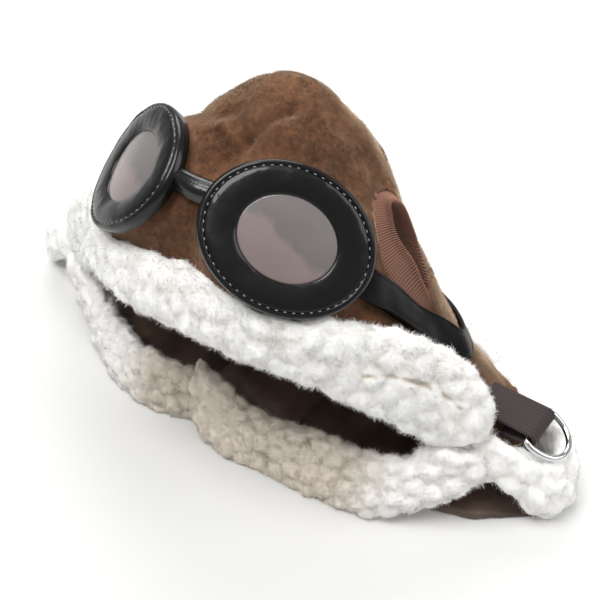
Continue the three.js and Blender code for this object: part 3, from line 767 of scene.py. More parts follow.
def sewing_thread(colour):
    # Twisted polyester thread: its plies catch the light in small points, partly as painted highlight
    # on their crests and painted shade between them
    material, tree, shader = new_material("polyester sewing thread", colour, 0.35, Sheen_Weight=0.2)
    place = object_place(tree)
    ply_mm = 0.25
    plies = add_node(tree, "TexNoise", {"Vector": place, "Scale": 1 / ply_mm, "Detail": 2.0})
    bump = add_node(tree, "Bump", {"Height": plies, "Distance": 0.1 * MM, "Strength": 0.5})
    stops = [(0.35, shade(colour, 0.6)), (0.65, shade(colour, 1.2))]
    wire(tree, shader, {"Base Color": ramp(tree, plies, stops), "Normal": bump})
    return material


# Sizes and colours that a user would change


def colour_property(name, hex_colour, words):
    return FloatVectorProperty(
        name=name, description=words, default=linear(hex_colour), size=3, subtype="COLOR", min=0, max=1
    )


def length_property(name, default_mm, words):
    span = {"min": 0.1 * MM, "max": 30 * MM, "precision": 5}
    return FloatProperty(name=name, description=words, default=default_mm * MM, unit="LENGTH", **span)


class HatColours(bpy.types.PropertyGroup):
    """The hat's colours."""

    fleece: colour_property("Fleece", "#583822", "Brushed fleece of the crown")
    satin: colour_property("Satin", "#54433a", "Lining and throat flaps")
    white_pile: colour_property("White pile", "#fdfbf8", "Curls of the face and neck rims")
    # the chin bands' pile: white pile painted beige as shade under the brim
    beige_pile: colour_property("Chin pile with painted shade", "#ded4c5", "Curls of the chin bands")
    knit: colour_property("Knit", "#7e594a", "Knitted ear cuffs")
    leather: colour_property("Leather", "#060608", "Goggle frames and straps")
    lens: colour_property("Lens", "#6c6766", "Goggle lenses")
    webbing: colour_property("Webbing", "#281c1e", "Loop that holds the ring")
    thread: colour_property("Thread", "#9b9ea3", "Stitches on the goggles")


class HatSizes(bpy.types.PropertyGroup):
    """The hat's fine sizes."""

    brim_curl: length_property("Brim curl", 8.5, "Width of a clump of pile on the face and neck rims")
    chin_curl: length_property("Chin curl", 7.2, "Width of a curl on the chin bands")
    nap: length_property("Nap", 1.5, "Length of the fleece's nap")
    stitch: length_property("Stitch", 2.6, "Distance from stitch to stitch on the goggles")
    rib: length_property("Rib", 0.8, "Distance from rib to rib of the knitted cuffs")


def colour_of(name):
    """One of the colours as linear red, green and blue."""
    return tuple(getattr(bpy.context.scene.hat_colours, name))


def size(name):
    """One of the fine sizes in millimetres."""
    return getattr(bpy.context.scene.hat_sizes, name) / MM


# Crown and lining

CROWN_AROUND = 264
CROWN_DOWN = 108
LINING_AROUND = 132
LINING_DOWN = 44
# mesh spacing, height of the clumps, count and length of the fibres, and seed of each pile trim
PILES = {
    "brim_trim": (0.85, 0.95, 44000, 2.2, 31),
    "neck_trim": (1.05, 1.0, 27000, 2.2, 32),
    "chin_trim_right": (0.7, 1.15, 20000, 1.8, 41),
    "chin_trim_left": (0.7, 1.15, 20000, 1.8, 42),
}
# how deep in a trim the cloth ends, and how far from a trim the nap does
UNDER_TRIM = 1.5
NAP_FROM_TRIM = -0.6
# height, bump size and seed of the cloth's random waves
CROWN_WAVES = ((0.7, 26, 3), (0.25, 9, 4))
LINING_WAVES = ((-0.8, 20, 5), (-0.25, 7, 6))
# shares of the way from a goggle's middle where the cloth under it starts to be free, and is
FREE_CLOTH = (0.95, 1.35)
# the hood's share round and height at an ear opening, and the opening's sizes
EAR = {"s": 0.25, "z": 83, "half_length": 20, "half_width": 10.5, "cuff": 4}
EAR_LENGTH_DIRECTION = unit(vec(0.62, 0.12, -0.75))
EAR_NEAR = 25
FAR_SHARE = 9.0
CROWN_EAR_EDGE = -0.2
LINING_EAR_EDGE = -0.6
NAP_COUNT = 130000
NAP_SEED = 11
# where the nap starts, as shares of the way from the middle of an ear opening and of a goggle
NAP_PAST_EAR = 1.08
NAP_PAST_GOGGLE = 0.98
# bump sizes of the swirls in the nap, the small one's share, and a seed for each axis
SWIRL_SIZES = (13, 4)
SMALL_SWIRL = 0.8
SWIRL_SEEDS = (21, 22, 23)
NAP_SCATTER = 0.35
NAP_FALL = -0.5
# shares of a blade's direction that stand up and lie along the brushing
NAP_STAND = 0.6
NAP_LIE = 0.8
NAP_LENGTHS = (0.55, 1.2)
NAP_HALF_WIDTHS = (0.05, 0.1)
NAP_ROOT = 0.2
# how far the blades' shading leans along them
NAP_LIGHT_LEAN = 0.2


def ear_axes(word):
    """Centre, length, width and out of one ear opening."""
    side = 1 if word == "right" else -1
    centre, out = hood_at_height(EAR["s"] if side > 0 else 1 - EAR["s"], EAR["z"], 0)
    length = EAR_LENGTH_DIRECTION * [side, 1, 1]
    length = unit(length - out * (length @ out))
    return centre, length, np.cross(out, length), out


def ear_reach(points, word, inset=0.0):
    """Each point's share of the way from the middle of an ear opening to its edge."""
    centre, length, width, out = ear_axes(word)
    u = (points - centre) @ length / (EAR["half_length"] - inset)
    v = (points - centre) @ width / (EAR["half_width"] - inset)
    near = np.abs((points - centre) @ out) < EAR_NEAR
    return np.where(near, np.hypot(u, v), FAR_SHARE)


def hood_sheet(around, down, distance, ripple):
    """The hood as a grid whose first point is the peak; ripple(points) moves it along its normals."""
    q, s = np.meshgrid(np.arange(1, down + 1) / down, np.arange(around) / around, indexing="ij")
    q, s = q.ravel(), s.ravel()
    points = hood_point(s, q)
    normals = hood_normal(s, q)
    points = corner_tucked(points + normals * (distance + ripple(points))[:, None])
    peak = hood_point(np.zeros(1), np.zeros(1)) + [0, 0, distance]
    faces = (grid_faces(down, around, wrap_columns=True) + 1).tolist()
    faces = [f[::-1] for f in faces]
    faces += [(0, 1 + i, 1 + (i + 1) % around) for i in range(around)]
    return np.vstack([peak, points]), np.vstack([[0, 0, 1], normals]), faces


def without_ears(points, faces, inset):
    """Cuts the ear openings: inner faces go, and the edge left behind moves to the oval."""
    faces = [tuple(f) for f in faces]
    points = points.copy()
    for word in SIDES:
        centre, length, width, _ = ear_axes(word)
        reach = ear_reach(points, word, inset)
        inner = {i for i, f in enumerate(faces) if np.mean(reach[list(f)]) < 1}
        gone = {v for i in inner for v in faces[i]}
        faces = [f for i, f in enumerate(faces) if i not in inner]
        rim = sorted(gone & {v for f in faces for v in f})
        u = (points[rim] - centre) @ length
        v = (points[rim] - centre) @ width
        more = (1 / reach[rim] - 1)[:, None]
        points[rim] += more * (u[:, None] * length + v[:, None] * width)
    return points, faces


def trimmed(points, faces):
    """Drops the points that no face uses."""
    used = sorted({v for f in faces for v in f})
    number = {v: i for i, v in enumerate(used)}
    return points[used], [tuple(number[v] for v in f) for f in faces]


def clear_of_goggles(points):
    """1 on the free cloth, falling to 0 under the goggles."""
    free = np.ones(len(points))
    for word in SIDES:
        near = smoothstep(goggle_reach(points, word), *FREE_CLOTH)
        free = np.minimum(free, np.where(points[:, 1] < 0, near, 1))
    return free


def crown_ripple(points):
    """The fleece's soft unevenness, none of it under the goggles."""
    return clear_of_goggles(points) * wobbles(points, CROWN_WAVES)


def lining_ripple(points):
    """The satin's folds, all of them inwards."""
    return wobbles(points, LINING_WAVES, one_way=True)


def hood_piece(name, around, down, distance, thickness, ripple, ear_inset):
    """A layer of the hood with its thickness, open at the ears and at the hem."""
    outer, normals, faces = hood_sheet(around, down, distance, ripple)
    faces = clear_of_trims(outer, faces, UNDER_TRIM)
    inner = outer - normals * thickness
    outer, cut = without_ears(outer, faces, ear_inset)
    inner, _ = without_ears(inner, faces, ear_inset)
    both = np.hstack([outer, inner])
    both, cut = trimmed(both, cut)
    points, walls = shell(both[:, :3], both[:, 3:], cut)
    return facing_out(mesh_object(name, points, walls))


def clear_of_trims(points, faces, depth):
    """The cloth's faces without those deeper than that in a pile trim, or cut off by it."""
    buried = depth_in(node_tree(*PILES), points) > depth
    return largest_part([f for f in faces if not all(buried[list(f)])])


def make_crown():
    sizes = (CROWN_AROUND, CROWN_DOWN, 0, FLEECE)
    crown = hood_piece("crown_cloth", *sizes, crown_ripple, CROWN_EAR_EDGE)
    fleece = brushed_fleece(colour_of("fleece"))
    dress(crown, fleece, "hat", ["crown"])
    make_nap(fleece)


def make_nap(fleece):
    """Short blades on the crown that lean with the brushing, off the goggles, ears and hem."""
    rng = np.random.default_rng(NAP_SEED)
    points, normals, faces = hood_sheet(CROWN_AROUND, CROWN_DOWN, 0, crown_ripple)
    faces = clear_of_trims(points, faces, NAP_FROM_TRIM)
    place, out = scattered(points, normals, faces, NAP_COUNT, rng)
    keep = np.minimum(*(ear_reach(place, word) for word in SIDES)) > NAP_PAST_EAR
    for word in SIDES:
        keep &= (goggle_reach(place, word) > NAP_PAST_GOGGLE) | (place[:, 1] > 0)
    place, out = place[keep], out[keep]
    count = len(place)
    big, small = SWIRL_SIZES
    swirl = [wobbles(place, ((1, big, seed), (SMALL_SWIRL, small, seed + 3))) for seed in SWIRL_SEEDS]
    lean = np.stack(swirl, axis=1) + NAP_SCATTER * rng.normal(size=(count, 3)) + [0, 0, NAP_FALL]
    along = unit(out * NAP_STAND + NAP_LIE * unit(level(lean, out)))
    length = size("nap") * rng.uniform(*NAP_LENGTHS, count)
    side = unit(np.cross(along, out)) * rng.uniform(*NAP_HALF_WIDTHS, count)[:, None]
    root = place - out * NAP_ROOT
    blades = np.stack([root + side, root - side, root + along * length[:, None]], axis=1).reshape(-1, 3)
    nap = mesh_object("crown_nap", blades, np.arange(count * 3).reshape(-1, 3)[:, [0, 2, 1]].tolist())
    shade_along(nap, np.repeat(unit(out + NAP_LIGHT_LEAN * along), 3, axis=0))
    dress(nap, fleece, "hat")


def make_lining():
    sizes = (LINING_AROUND, LINING_DOWN, -FLEECE - GAP, SATIN)
    lining = hood_piece("satin_lining", *sizes, lining_ripple, LINING_EAR_EDGE)
    dress(lining, woven_satin(colour_of("satin")), "hat", ["lining"])


# Pile trims and throat flaps

PILE_LIFT = 0.1
PILE_ROUNDS = 10
SEED_RISE = 0.5
# in curls: the clumps' spacing and jitter, and the reach of a crease and of a dome
SEED_SPACING = 0.8
CLUMP_JITTER = 0.05
CREASE_REACH = 0.75
DOME_REACH = 0.85
CREASE_FLOOR = 0.35
CREASE_POWER = 0.6
CLUMP_HEIGHTS = (0.65, 1.25)
DOME_SWING = 1.5
DOME_SINK = 0.75
# the clumps' roughness: its size in curls, its height, and its share of the painted light and shade on
# the clumps
ROUGH_SIZE = 0.28
ROUGH_LIFT = 0.12
ROUGH_PAINTED_SHADING = 0.08
# the painted tone at the bottom of a crease, and how much darker the sewn line is painted as shade
CREASE_PAINTED_SHADE = 0.15
SEWN_PAINTED_SHADE = 1.5
# the fibres: shares of their direction out of the clump and round it, at the root and at the tip
FIBRE_START = (0.9, 0.7)
FIBRE_END = (0.1, 0.9)
FIBRE_INWARD = 0.5
FIBRE_SCATTER = 0.5
FIBRE_LENGTHS = (0.5, 1.2)
FIBRE_WIDTHS = (0.1, 0.2)
FIBRE_ROOT = 0.15
FIBRE_CORNERS = 5
# tone of a fibre: the least, which leaves painted shade at the root, the random part, and the tip's
# part, a painted highlight
FIBRE_TONES_AND_PAINTED_LIGHT = (0.45, 0.5, 0.25)
# the right corner, where the trims' pile rises to close the seam: reach, lift, span, longer fibres
SEAM_REACH = 7.0
SEAM_LIFT = 5
SEAM_SIDE = (40, 70)
SEAM_FIBRES = 1.2
# the sewn line across the face rim: its places, half width, depth and outward direction
SEWN_LINE = [
    (57, -43, 63.1),
    (63.2, -36.7, 61.2),
    (69.8, -30.7, 57.5),
    (75.9, -25.5, 51.9),
    (81.5, -23.1, 46.9),
]
SEWN_WIDTH = 0.65
SEWN_DEPTH = 1.2
SEWN_OUT = unit(vec(0.55, -0.6, 0.6))
SEWN_STEPS = 120
SEWN_BEFORE = 5
SEWN_REACH = 8
# how the line comes and goes: its mean, the swing, the most, and the size and seed of the swing
SEWN_MEAN = 0.45
SEWN_SWING = 0.6
SEWN_MOST = 0.75
SEWN_BREAKS = (3, 35)
# the left end of the face opening: how far the band sinks and the rim rises, and over which spans
CHIN_SINK = 3.5
CHIN_SINK_LEFT = (30, 46)
CHIN_SINK_UP = (10, 22)
BRIM_RISE = 5.5
BRIM_RISE_LEFT = (48, 64)
BRIM_RISE_RIGHT = (0, 40)
BRIM_RISE_UP = (56, 72)
BRIM_RISE_LESS = 0.7
# where the chin bands' painted shade gives way to the white pile's colour, and how much sooner the left
# one does
CORNER_WHITE = (48, 74)
LEFT_WHITER = 24


def spaced(points, distance, rng):
    """Points picked in random order, none closer than distance to another."""
    grid = {}
    chosen = []
    for i in rng.permutation(len(points)):
        p = points[i]
        cell = tuple(np.floor(p / distance).astype(int))
        around = [
            grid.get((cell[0] + a, cell[1] + b, cell[2] + c), ())
            for a in (-1, 0, 1)
            for b in (-1, 0, 1)
            for c in (-1, 0, 1)
        ]
        if all(np.linalg.norm(p - o) >= distance for cell_points in around for o in cell_points):
            grid.setdefault(cell, []).append(p)
            chosen.append(p)
    return np.array(chosen)


def opened(node, points):
    """Keeps the left end of the face opening as wide as it is between the plain bands."""
    points = points.copy()
    left, height = -points[:, 0], points[:, 2]
    if node == "chin_trim_left":
        sink = CHIN_SINK * smoothstep(left, *CHIN_SINK_LEFT)
        points[:, 2] -= sink * smoothstep(height, *CHIN_SINK_UP)
    if node == "brim_trim":
        span = 1 - smoothstep(left, *BRIM_RISE_LEFT)
        span *= 1 - BRIM_RISE_LESS * smoothstep(-left, *BRIM_RISE_RIGHT)
        points[:, 2] += BRIM_RISE * span * (1 - smoothstep(height, *BRIM_RISE_UP))
    return points


def near_sewn_line(points):
    """How strong the sewn line is at each point, falling to 0 beside it."""
    tree = tree_of(spline(SEWN_LINE, np.linspace(0, 1, SEWN_STEPS)))
    near = np.zeros(len(points))
    for i in np.flatnonzero(points[:, 0] > SEWN_LINE[0][0] - SEWN_BEFORE):
        place, _, distance = tree.find(points[i])
        if distance < SEWN_REACH:
            gap = points[i] - np.array(place)
            beside = np.linalg.norm(gap - SEWN_OUT * (gap @ SEWN_OUT))
            near[i] = math.exp(-((beside / SEWN_WIDTH) ** 2))
    return near * np.clip(SEWN_MEAN + SEWN_SWING * wobble(points, *SEWN_BREAKS), 0, SEWN_MOST)


def beside_seam(node, points):
    """1 where a trim meets the others at the right corner, falling to 0 away from them."""
    others = node_tree(*(other for other in PILES if other != node))
    return smoothstep(depth_in(others, points), -SEAM_REACH, 0) * smoothstep(points[:, 0], *SEAM_SIDE)


def clump_mesh(node, curl, rng):
    """A trim's form with clumps pushed out of it: points, faces, tones of painted light and shade, and
    the clumps' seeds.
    """
    voxel, height, _, _, seed = PILES[node]
    points, normals, faces = soft_points(node, voxel, PILE_ROUNDS)
    points = opened(node, points)
    seeds = spaced(points + normals * SEED_RISE, curl * SEED_SPACING, rng)
    jitter = rng.normal(size=points.shape) * CLUMP_JITTER * curl
    first, second, owner = nearest_two(points + jitter, seeds)
    edge = np.clip((second - first) / (CREASE_REACH * curl), 0, 1)
    dome = np.clip(1 - (first / (DOME_REACH * curl)) ** 2, 0, 1)
    dome = dome * (CREASE_FLOOR + (1 - CREASE_FLOOR) * edge**CREASE_POWER)
    tall = rng.uniform(*CLUMP_HEIGHTS, len(seeds))[owner]
    rough = wobble(points, curl * ROUGH_SIZE, seed + 1)
    lift = height * (DOME_SWING * dome * tall - DOME_SINK) + ROUGH_LIFT * height * rough
    lift += SEAM_LIFT * beside_seam(node, points)
    sewn = near_sewn_line(points) if node == "brim_trim" else unsewn(points)
    lift -= SEWN_DEPTH * sewn
    moved = points + normals * lift[:, None]
    moved[:, 2] = np.maximum(moved[:, 2], PILE_LIFT)
    # the tone is painted light on tall and rough clump tops, and painted shade in the creases and along
    # the sewn line
    tone_with_painted_light = np.clip(CREASE_PAINTED_SHADE + dome * tall + ROUGH_PAINTED_SHADING * rough - SEWN_PAINTED_SHADE * sewn, 0, 1)
    return moved, faces, tone_with_painted_light, seeds


def fibre_mesh(node, clumps, faces, seeds, rng):
    """Fibres that curl round their own clump: points, faces, tones with a painted highlight at the
    tips, and the surface's directions.
    """
    _, _, count, fibre_length, _ = PILES[node]
    roots, out = scattered(clumps, point_normals(clumps, faces), faces, count, rng)
    _, _, clump = nearest_two(roots, seeds)
    away = level(roots - seeds[clump], out)
    turn = np.cross(out, unit(away))
    spin = np.where(rng.random(len(seeds)) < 0.5, 1, -1)[clump][:, None]
    scatter = FIBRE_SCATTER * rng.normal(size=roots.shape)
    rise, swing = FIBRE_START
    start = unit(out * rise + turn * spin * swing + scatter)
    rise, swing = FIBRE_END
    end = unit(out * rise + turn * spin * swing - FIBRE_INWARD * unit(away) + scatter)
    longer = 1 + SEAM_FIBRES * beside_seam(node, roots)
    length = fibre_length * rng.uniform(*FIBRE_LENGTHS, count) * longer
    width = rng.uniform(*FIBRE_WIDTHS, count)
    points, strips, share = fibre_strips(roots - out * FIBRE_ROOT, out, start, end, length, width)
    points[:, 2] = np.maximum(points[:, 2], PILE_LIFT / 2)
    # painted shade at the fibres' roots and painted highlight at their tips, with a random tone between
    least, varied, tip = FIBRE_TONES_AND_PAINTED_LIGHT
    tone_with_painted_light = np.clip(least + varied * np.repeat(rng.random(count), FIBRE_CORNERS) + tip * share, 0, 1)
    return points, strips, tone_with_painted_light, np.repeat(out, FIBRE_CORNERS, axis=0)


def unsewn(points):
    """0 everywhere, for the trims with no sewn line."""
    return np.zeros(len(points))


def whiter_ends(points):
    """0 along the middle of the chin bands, where their painted shade is full, rising to 1 at their
    ends, which take the white pile's colour.
    """
    outward = np.where(points[:, 0] < 0, LEFT_WHITER - points[:, 0], points[:, 0])
    return smoothstep(outward, *CORNER_WHITE)


def pile_piece(name, node, material, second, curl):
    """One trim with its clumps and fibres; second(points) is the share of its second colour."""
    rng = np.random.default_rng(PILES[node][-1])
    clumps, clump_faces, clump_painted_light, seeds = clump_mesh(node, curl, rng)
    fibres, strips, fibre_tone_with_painted_light, out = fibre_mesh(node, clumps, clump_faces, seeds, rng)
    points, faces, tone_with_painted_light = joined([(clumps, clump_faces, clump_painted_light), (fibres, strips, fibre_tone_with_painted_light)])
    obj = mesh_object(name, points, faces)
    # the 'pile' attribute carries the painted light and shade of the clumps and fibres
    attribute(obj, "pile", tone_with_painted_light)
    attribute(obj, "second", second(points))
    shade_along(obj, np.vstack([np.zeros_like(clumps), out]))
    dress(obj, material, "hat", [node])


def make_white_trims():
    colour = colour_of("white_pile")
    # e2dfd7 is the painted shade in the creases
    white = curled_pile("white sherpa pile", colour, linear("#e2dfd7"), linear("#cdbb9e"))
    curl = size("brim_curl")
    pile_piece("brim_pile", "brim_trim", white, near_sewn_line, curl)
    pile_piece("neck_pile", "neck_trim", white, unsewn, curl)


def make_chin_bands():
    colour, white = colour_of("beige_pile"), colour_of("white_pile")
    # pile painted beige as shade under the brim, #a2947f painted shade in its creases, turning white
    # towards the ends
    chin_pile_shaded = curled_pile("beige astrakhan pile", colour, linear("#a2947f"), white)
    for word in SIDES:
        node = "chin_trim_" + word
        pile_piece("chin_pile_" + word, node, chin_pile_shaded, whiter_ends, size("chin_curl"))


# where the right flap's end starts to be drawn out, how far its tip goes, and how much thinner it gets;
# the drawn-out tip is partly the flap and partly painted shade on the floor
FLAP_END = (66, 96)
FLAP_DRAW = (17, -3.5)
FLAP_THIN = 0.85
FLAP_VOXEL = 1.2
FLAP_ROUNDS = 6
# upward part of the direction where a flap's top starts and is full, and the top's waves
FLAP_TOP = (0.2, 0.9)
FLAP_WAVES = ((1.4, 24, 51), (0.4, 9, 52))


def make_throat_flaps():
    satin = woven_satin(colour_of("satin"))
    for word in SIDES:
        node = "throat_flap_" + word
        points, normals, faces = soft_points(node, FLAP_VOXEL, FLAP_ROUNDS)
        top = smoothstep(normals[:, 2], *FLAP_TOP)
        swell = wobbles(points, FLAP_WAVES, one_way=True)
        points = points + vec(0, 0, 1) * (top * swell)[:, None]
        points[:, 2] = np.maximum(points[:, 2], 0)
        # the tip is stretched past the flap's own form and thinned, a dark sheet standing in for shade
        # on the floor
        drawn_into_shade = np.clip((points[:, :1] - FLAP_END[0]) / (FLAP_END[1] - FLAP_END[0]), 0, None) ** 2
        points[:, :2] += drawn_into_shade * FLAP_DRAW
        points[:, 2] *= 1 - FLAP_THIN * np.minimum(drawn_into_shade[:, 0], 1)
        flap = mesh_object("satin_flap_" + word, points, faces)
        dress(flap, satin, "hat", [node])


# Knitted ear cuffs

CUFF_AROUND = 792
CUFF_ROWS = 26
RIB_SLANT = 9
RIB_PUFF = 0.22
# the inset from which a point is on the cuff's inner wall
CUFF_INNER = 3.2
# share of the way from the low inner edge over the top to the low outer edge, as inset and height
CUFF_SECTION = [
    (2.5, 0.0),
    (2.8, 0.3),
    (3.2, 0.6),
    (3.5, 0.9),
    (3.45, 1.02),
    (3.1, 1.08),
    (2.6, 1.04),
    (2.0, 0.92),
    (1.0, 0.74),
    (-0.6, 0.58),
    (-2.0, 0.5),
    (-1.6, 0.42),
    (0.3, 0.2),
    (0.3, 0.0),
]
# how far the cuff's front wall leans back over the opening, and how much lower its back is
CUFF_LEAN = 5
CUFF_BACK = 0.25
# the front wall: where it starts and is full, how much of the lean its top keeps, and where that grows
CUFF_FRONT = (-0.2, 0.8)
CUFF_TOP_LEAN = 0.3
CUFF_TOP = (-0.8, 0.5)
CUFF_LEAN_FROM = (0.45, 1)
# how far the cuff's lower end is drawn down towards the strap, where, and how much flatter it is
CUFF_DRAW = 8
CUFF_LOWER = (0.1, 1)
CUFF_FLATTEN = 0.35
CUFF_FLAT_FROM = 0.5
CUFF_RIM_FROM = 0.9
HOOD_TREE_SIZES = (132, 60)


def hood_tree():
    """The hood's outer surface for measuring heights along a line."""
    points, _, faces = hood_sheet(*HOOD_TREE_SIZES, 0, crown_ripple)
    return BVHTree.FromPolygons(points.tolist(), [tuple(f) for f in faces])


def surface_height(tree, point, out, reach=40):
    """How far along out from a point the hood's surface lies."""
    start = Vector(point + out * reach)
    hit, _, _, distance = tree.ray_cast(start, Vector(-out))
    return reach - distance if hit is not None else 0.0


def cuff_mesh(word, tree, ribs):
    """A ribbed tube through an ear opening, folded outwards: points, faces and the ribs' height."""
    centre, length, width, out = ear_axes(word)
    angles = np.arange(CUFF_AROUND) / CUFF_AROUND * TURN
    lower = smoothstep(np.cos(angles), *CUFF_LOWER)
    back_way = 1 if word == "right" else -1
    front = smoothstep(-np.sin(angles) * back_way, *CUFF_FRONT)
    front = front * (CUFF_TOP_LEAN + (1 - CUFF_TOP_LEAN) * smoothstep(np.cos(angles), *CUFF_TOP))
    path = spline([(inset, share, 0) for inset, share in CUFF_SECTION], np.linspace(0, 1, CUFF_ROWS))
    rows, heights = [], []
    for inset, share, _ in path:
        wave = np.cos(ribs * angles + RIB_SLANT * share)
        puff = RIB_PUFF * wave
        side = 1 if inset < CUFF_INNER else -1
        along = np.cos(angles) * (EAR["half_length"] - inset + puff * side) + CUFF_DRAW * lower
        across = np.sin(angles) * (EAR["half_width"] - inset + puff * side)
        across = across + back_way * CUFF_LEAN * front * smoothstep(share, *CUFF_LEAN_FROM)
        ring = centre + np.outer(along, length) + np.outer(across, width)
        surface = np.array([surface_height(tree, p, out) for p in ring])
        low = surface - FLEECE - SATIN - GAP
        flat = 1 - (CUFF_FLATTEN * lower + CUFF_BACK * (1 - front)) * (share > CUFF_FLAT_FROM)
        height = low + (surface + EAR["cuff"] - low) * share * flat + puff * (share > CUFF_RIM_FROM)
        rows.append(ring + np.outer(height, out))
        heights.append(0.5 + 0.5 * wave)
    return *sweep(np.stack(rows, axis=1)), np.stack(heights, axis=1).ravel()


def make_ear_cuffs():
    knit = rib_knit(colour_of("knit"))
    tree = hood_tree()
    girth = TURN * math.sqrt((EAR["half_length"] ** 2 + EAR["half_width"] ** 2) / 2)
    for word in SIDES:
        points, faces, heights = cuff_mesh(word, tree, round(girth / size("rib")))
        cuff = facing_out(mesh_object("knit_cuff_" + word, points, faces))
        # the ribs' height, which the knit's colour turns into painted shade between the ribs and
        # painted light on their tops
        attribute(cuff, "rib", heights)
        dress(cuff, knit, "hat", ["ear_cuff_" + word])


# Goggles

# share of the way from the frame's edge to the lens, and height above the goggle's plane
FRAME_PROFILE = [
    (0.01, -1.6),
    (-0.03, -0.8),
    (-0.04, 0.2),
    (-0.03, 1.1),
    (0.01, 1.75),
    (0.06, 1.95),
    (0.12, 1.85),
    (0.15, 1.5),
    (0.18, 1.85),
    (0.23, 2.1),
    (0.35, 2.3),
    (0.6, 2.25),
    (0.82, 1.95),
    (0.95, 1.6),
    (1.0, 1.2),
    (1.01, 0.4),
    (1.01, -0.4),
]
FRAME_AROUND = 216
PROFILE_STEPS = 48
# the frame's wall: how far out the fleece is looked for, how deep the foot goes, its limits, inner foot
WALL_LOOK = 12
WALL_SINK = 0.6
WALL_FOOT = (-2.4, -1.0)
INNER_FOOT = -1.8
# height and bump size of the leather's puckers
PUCKERS = ((0.09, 6), (0.03, 2.4))
FRAME_SEEDS = {"right": 61, "left": 62}
STITCH_SHARE = 0.15
STITCH_HEIGHT = 1.75
STITCH_PART = 0.36
THREAD = 0.29
THREAD_SIDES = 6
# share along a stitch, share of its thickness and how far it rises there
STITCH_ROWS = ((-0.5, 0.25, -0.35), (-0.33, 0.9, 0), (0, 1.0, 0.12), (0.33, 0.9, 0), (0.5, 0.25, -0.35))
# the lens: seeds, rings, first ring's share, reach under the frame, height, bow, waves, thickness
LENS_SEEDS = {"right": 66, "left": 67}
LENS_RINGS = 22
LENS_FIRST = 0.02
LENS_UNDER = 1.01
LENS_HEIGHT = 1.0
LENS_BOW = 0.5
LENS_WAVES = (0.2, 16)
LENS_THICKNESS = 0.7
# the slant of the line that splits the lens's painted reflection
LENS_SLANT = math.radians(-20)


def goggle_place(axes, angle, share, height):
    """Places round a goggle at a share of the way from its edge to the lens, and at a height."""
    centre, across, up, out = axes
    scale = 1 + (LENS_SHARE - 1) * share
    u = FRAME_HALF_WIDTH * scale * np.cos(angle)
    v = FRAME_HALF_HEIGHT * scale * np.sin(angle)
    lift = height - GOGGLE_BOW * (u / FRAME_HALF_WIDTH) ** 2
    place = centre + np.multiply.outer(u, across) + np.multiply.outer(v, up)
    return place + np.multiply.outer(lift, out)


def oval_length(axes, share):
    """The distance along a goggle's oval at each of many angles."""
    angles = np.linspace(0, TURN, 361)
    path = goggle_place(axes, angles, share, 0 * angles)
    return np.append(0, np.cumsum(np.linalg.norm(np.diff(path, axis=0), axis=1))), angles


def stitches(places, along, out, length, thick):
    """Short rounded threads lying along a seam and dipping in at their ends."""
    turn = np.arange(THREAD_SIDES) / THREAD_SIDES * TURN
    parts = []
    for place, a, c in zip(places, along, unit(np.cross(along, out))):
        rings = []
        for t, share, rise in STITCH_ROWS:
            middle = place + a * length * t + out * rise * thick
            sideways = np.outer(np.cos(turn), c) * thick / 2 * share
            rings.append(middle + sideways + np.outer(np.sin(turn), out) * thick / 2 * share)
        points, faces = sweep(rings, closed=False)
        parts.append((points, faces, np.zeros(len(points))))
    return joined(parts)[:2]


def make_goggles():
    leather = patent_leather(colour_of("leather"))
    vinyl = tinted_vinyl(colour_of("lens"))
    thread = sewing_thread(colour_of("thread"))
    tree = hood_tree()
    for word in SIDES:
        axes = goggle_axes(word)
        dress(goggle_rim(word, axes, tree), leather, "hat", ["goggle_frame_" + word])
        dress(goggle_seam(word, axes), thread, "hat")
        dress(goggle_lens(word, axes), vinyl, "hat", ["lens_" + word])


def goggle_rim(word, axes, tree):
    """A padded leather oval with a stitched groove by its edge, let down towards the fleece."""
    out = axes[3]
    angles = np.arange(FRAME_AROUND) / FRAME_AROUND * TURN
    profile = spline([(s, h, 0) for s, h in FRAME_PROFILE], np.linspace(0, 1, PROFILE_STEPS))
    rim = goggle_place(axes, angles, 0, 0 * angles)
    foot = np.array([surface_height(tree, p, out, WALL_LOOK) for p in rim])
    foot = np.clip(foot - WALL_SINK, *WALL_FOOT)
    columns = [goggle_place(axes, angles, 0.0, foot)]
    (broad, broad_size), (fine, fine_size) = PUCKERS
    seed = FRAME_SEEDS[word]
    for share, height, _ in profile:
        ring = goggle_place(axes, angles, share, height + 0 * angles)
        pucker = wobbles(ring, ((broad, broad_size, seed), (fine, fine_size, seed + 2)))
        columns.append(ring + np.outer(pucker, out))
    columns.append(goggle_place(axes, angles, 1.0, INNER_FOOT + 0 * angles))
    return facing_out(mesh_object("goggle_rim_" + word, *sweep(np.stack(columns, axis=1))))


def goggle_seam(word, axes):
    """Even stitches in the groove round the frame."""
    distance, steps = oval_length(axes, STITCH_SHARE)
    count = round(distance[-1] / size("stitch"))
    middle = np.interp((np.arange(count) + 0.5) / count * distance[-1], distance, steps)
    places = goggle_place(axes, middle, STITCH_SHARE, STITCH_HEIGHT + 0 * middle)
    ahead = goggle_place(axes, middle + 0.01, STITCH_SHARE, STITCH_HEIGHT + 0 * middle)
    threads = stitches(places, unit(ahead - places), axes[3], size("stitch") * STITCH_PART, THREAD)
    return mesh_object("goggle_stitches_" + word, *threads)


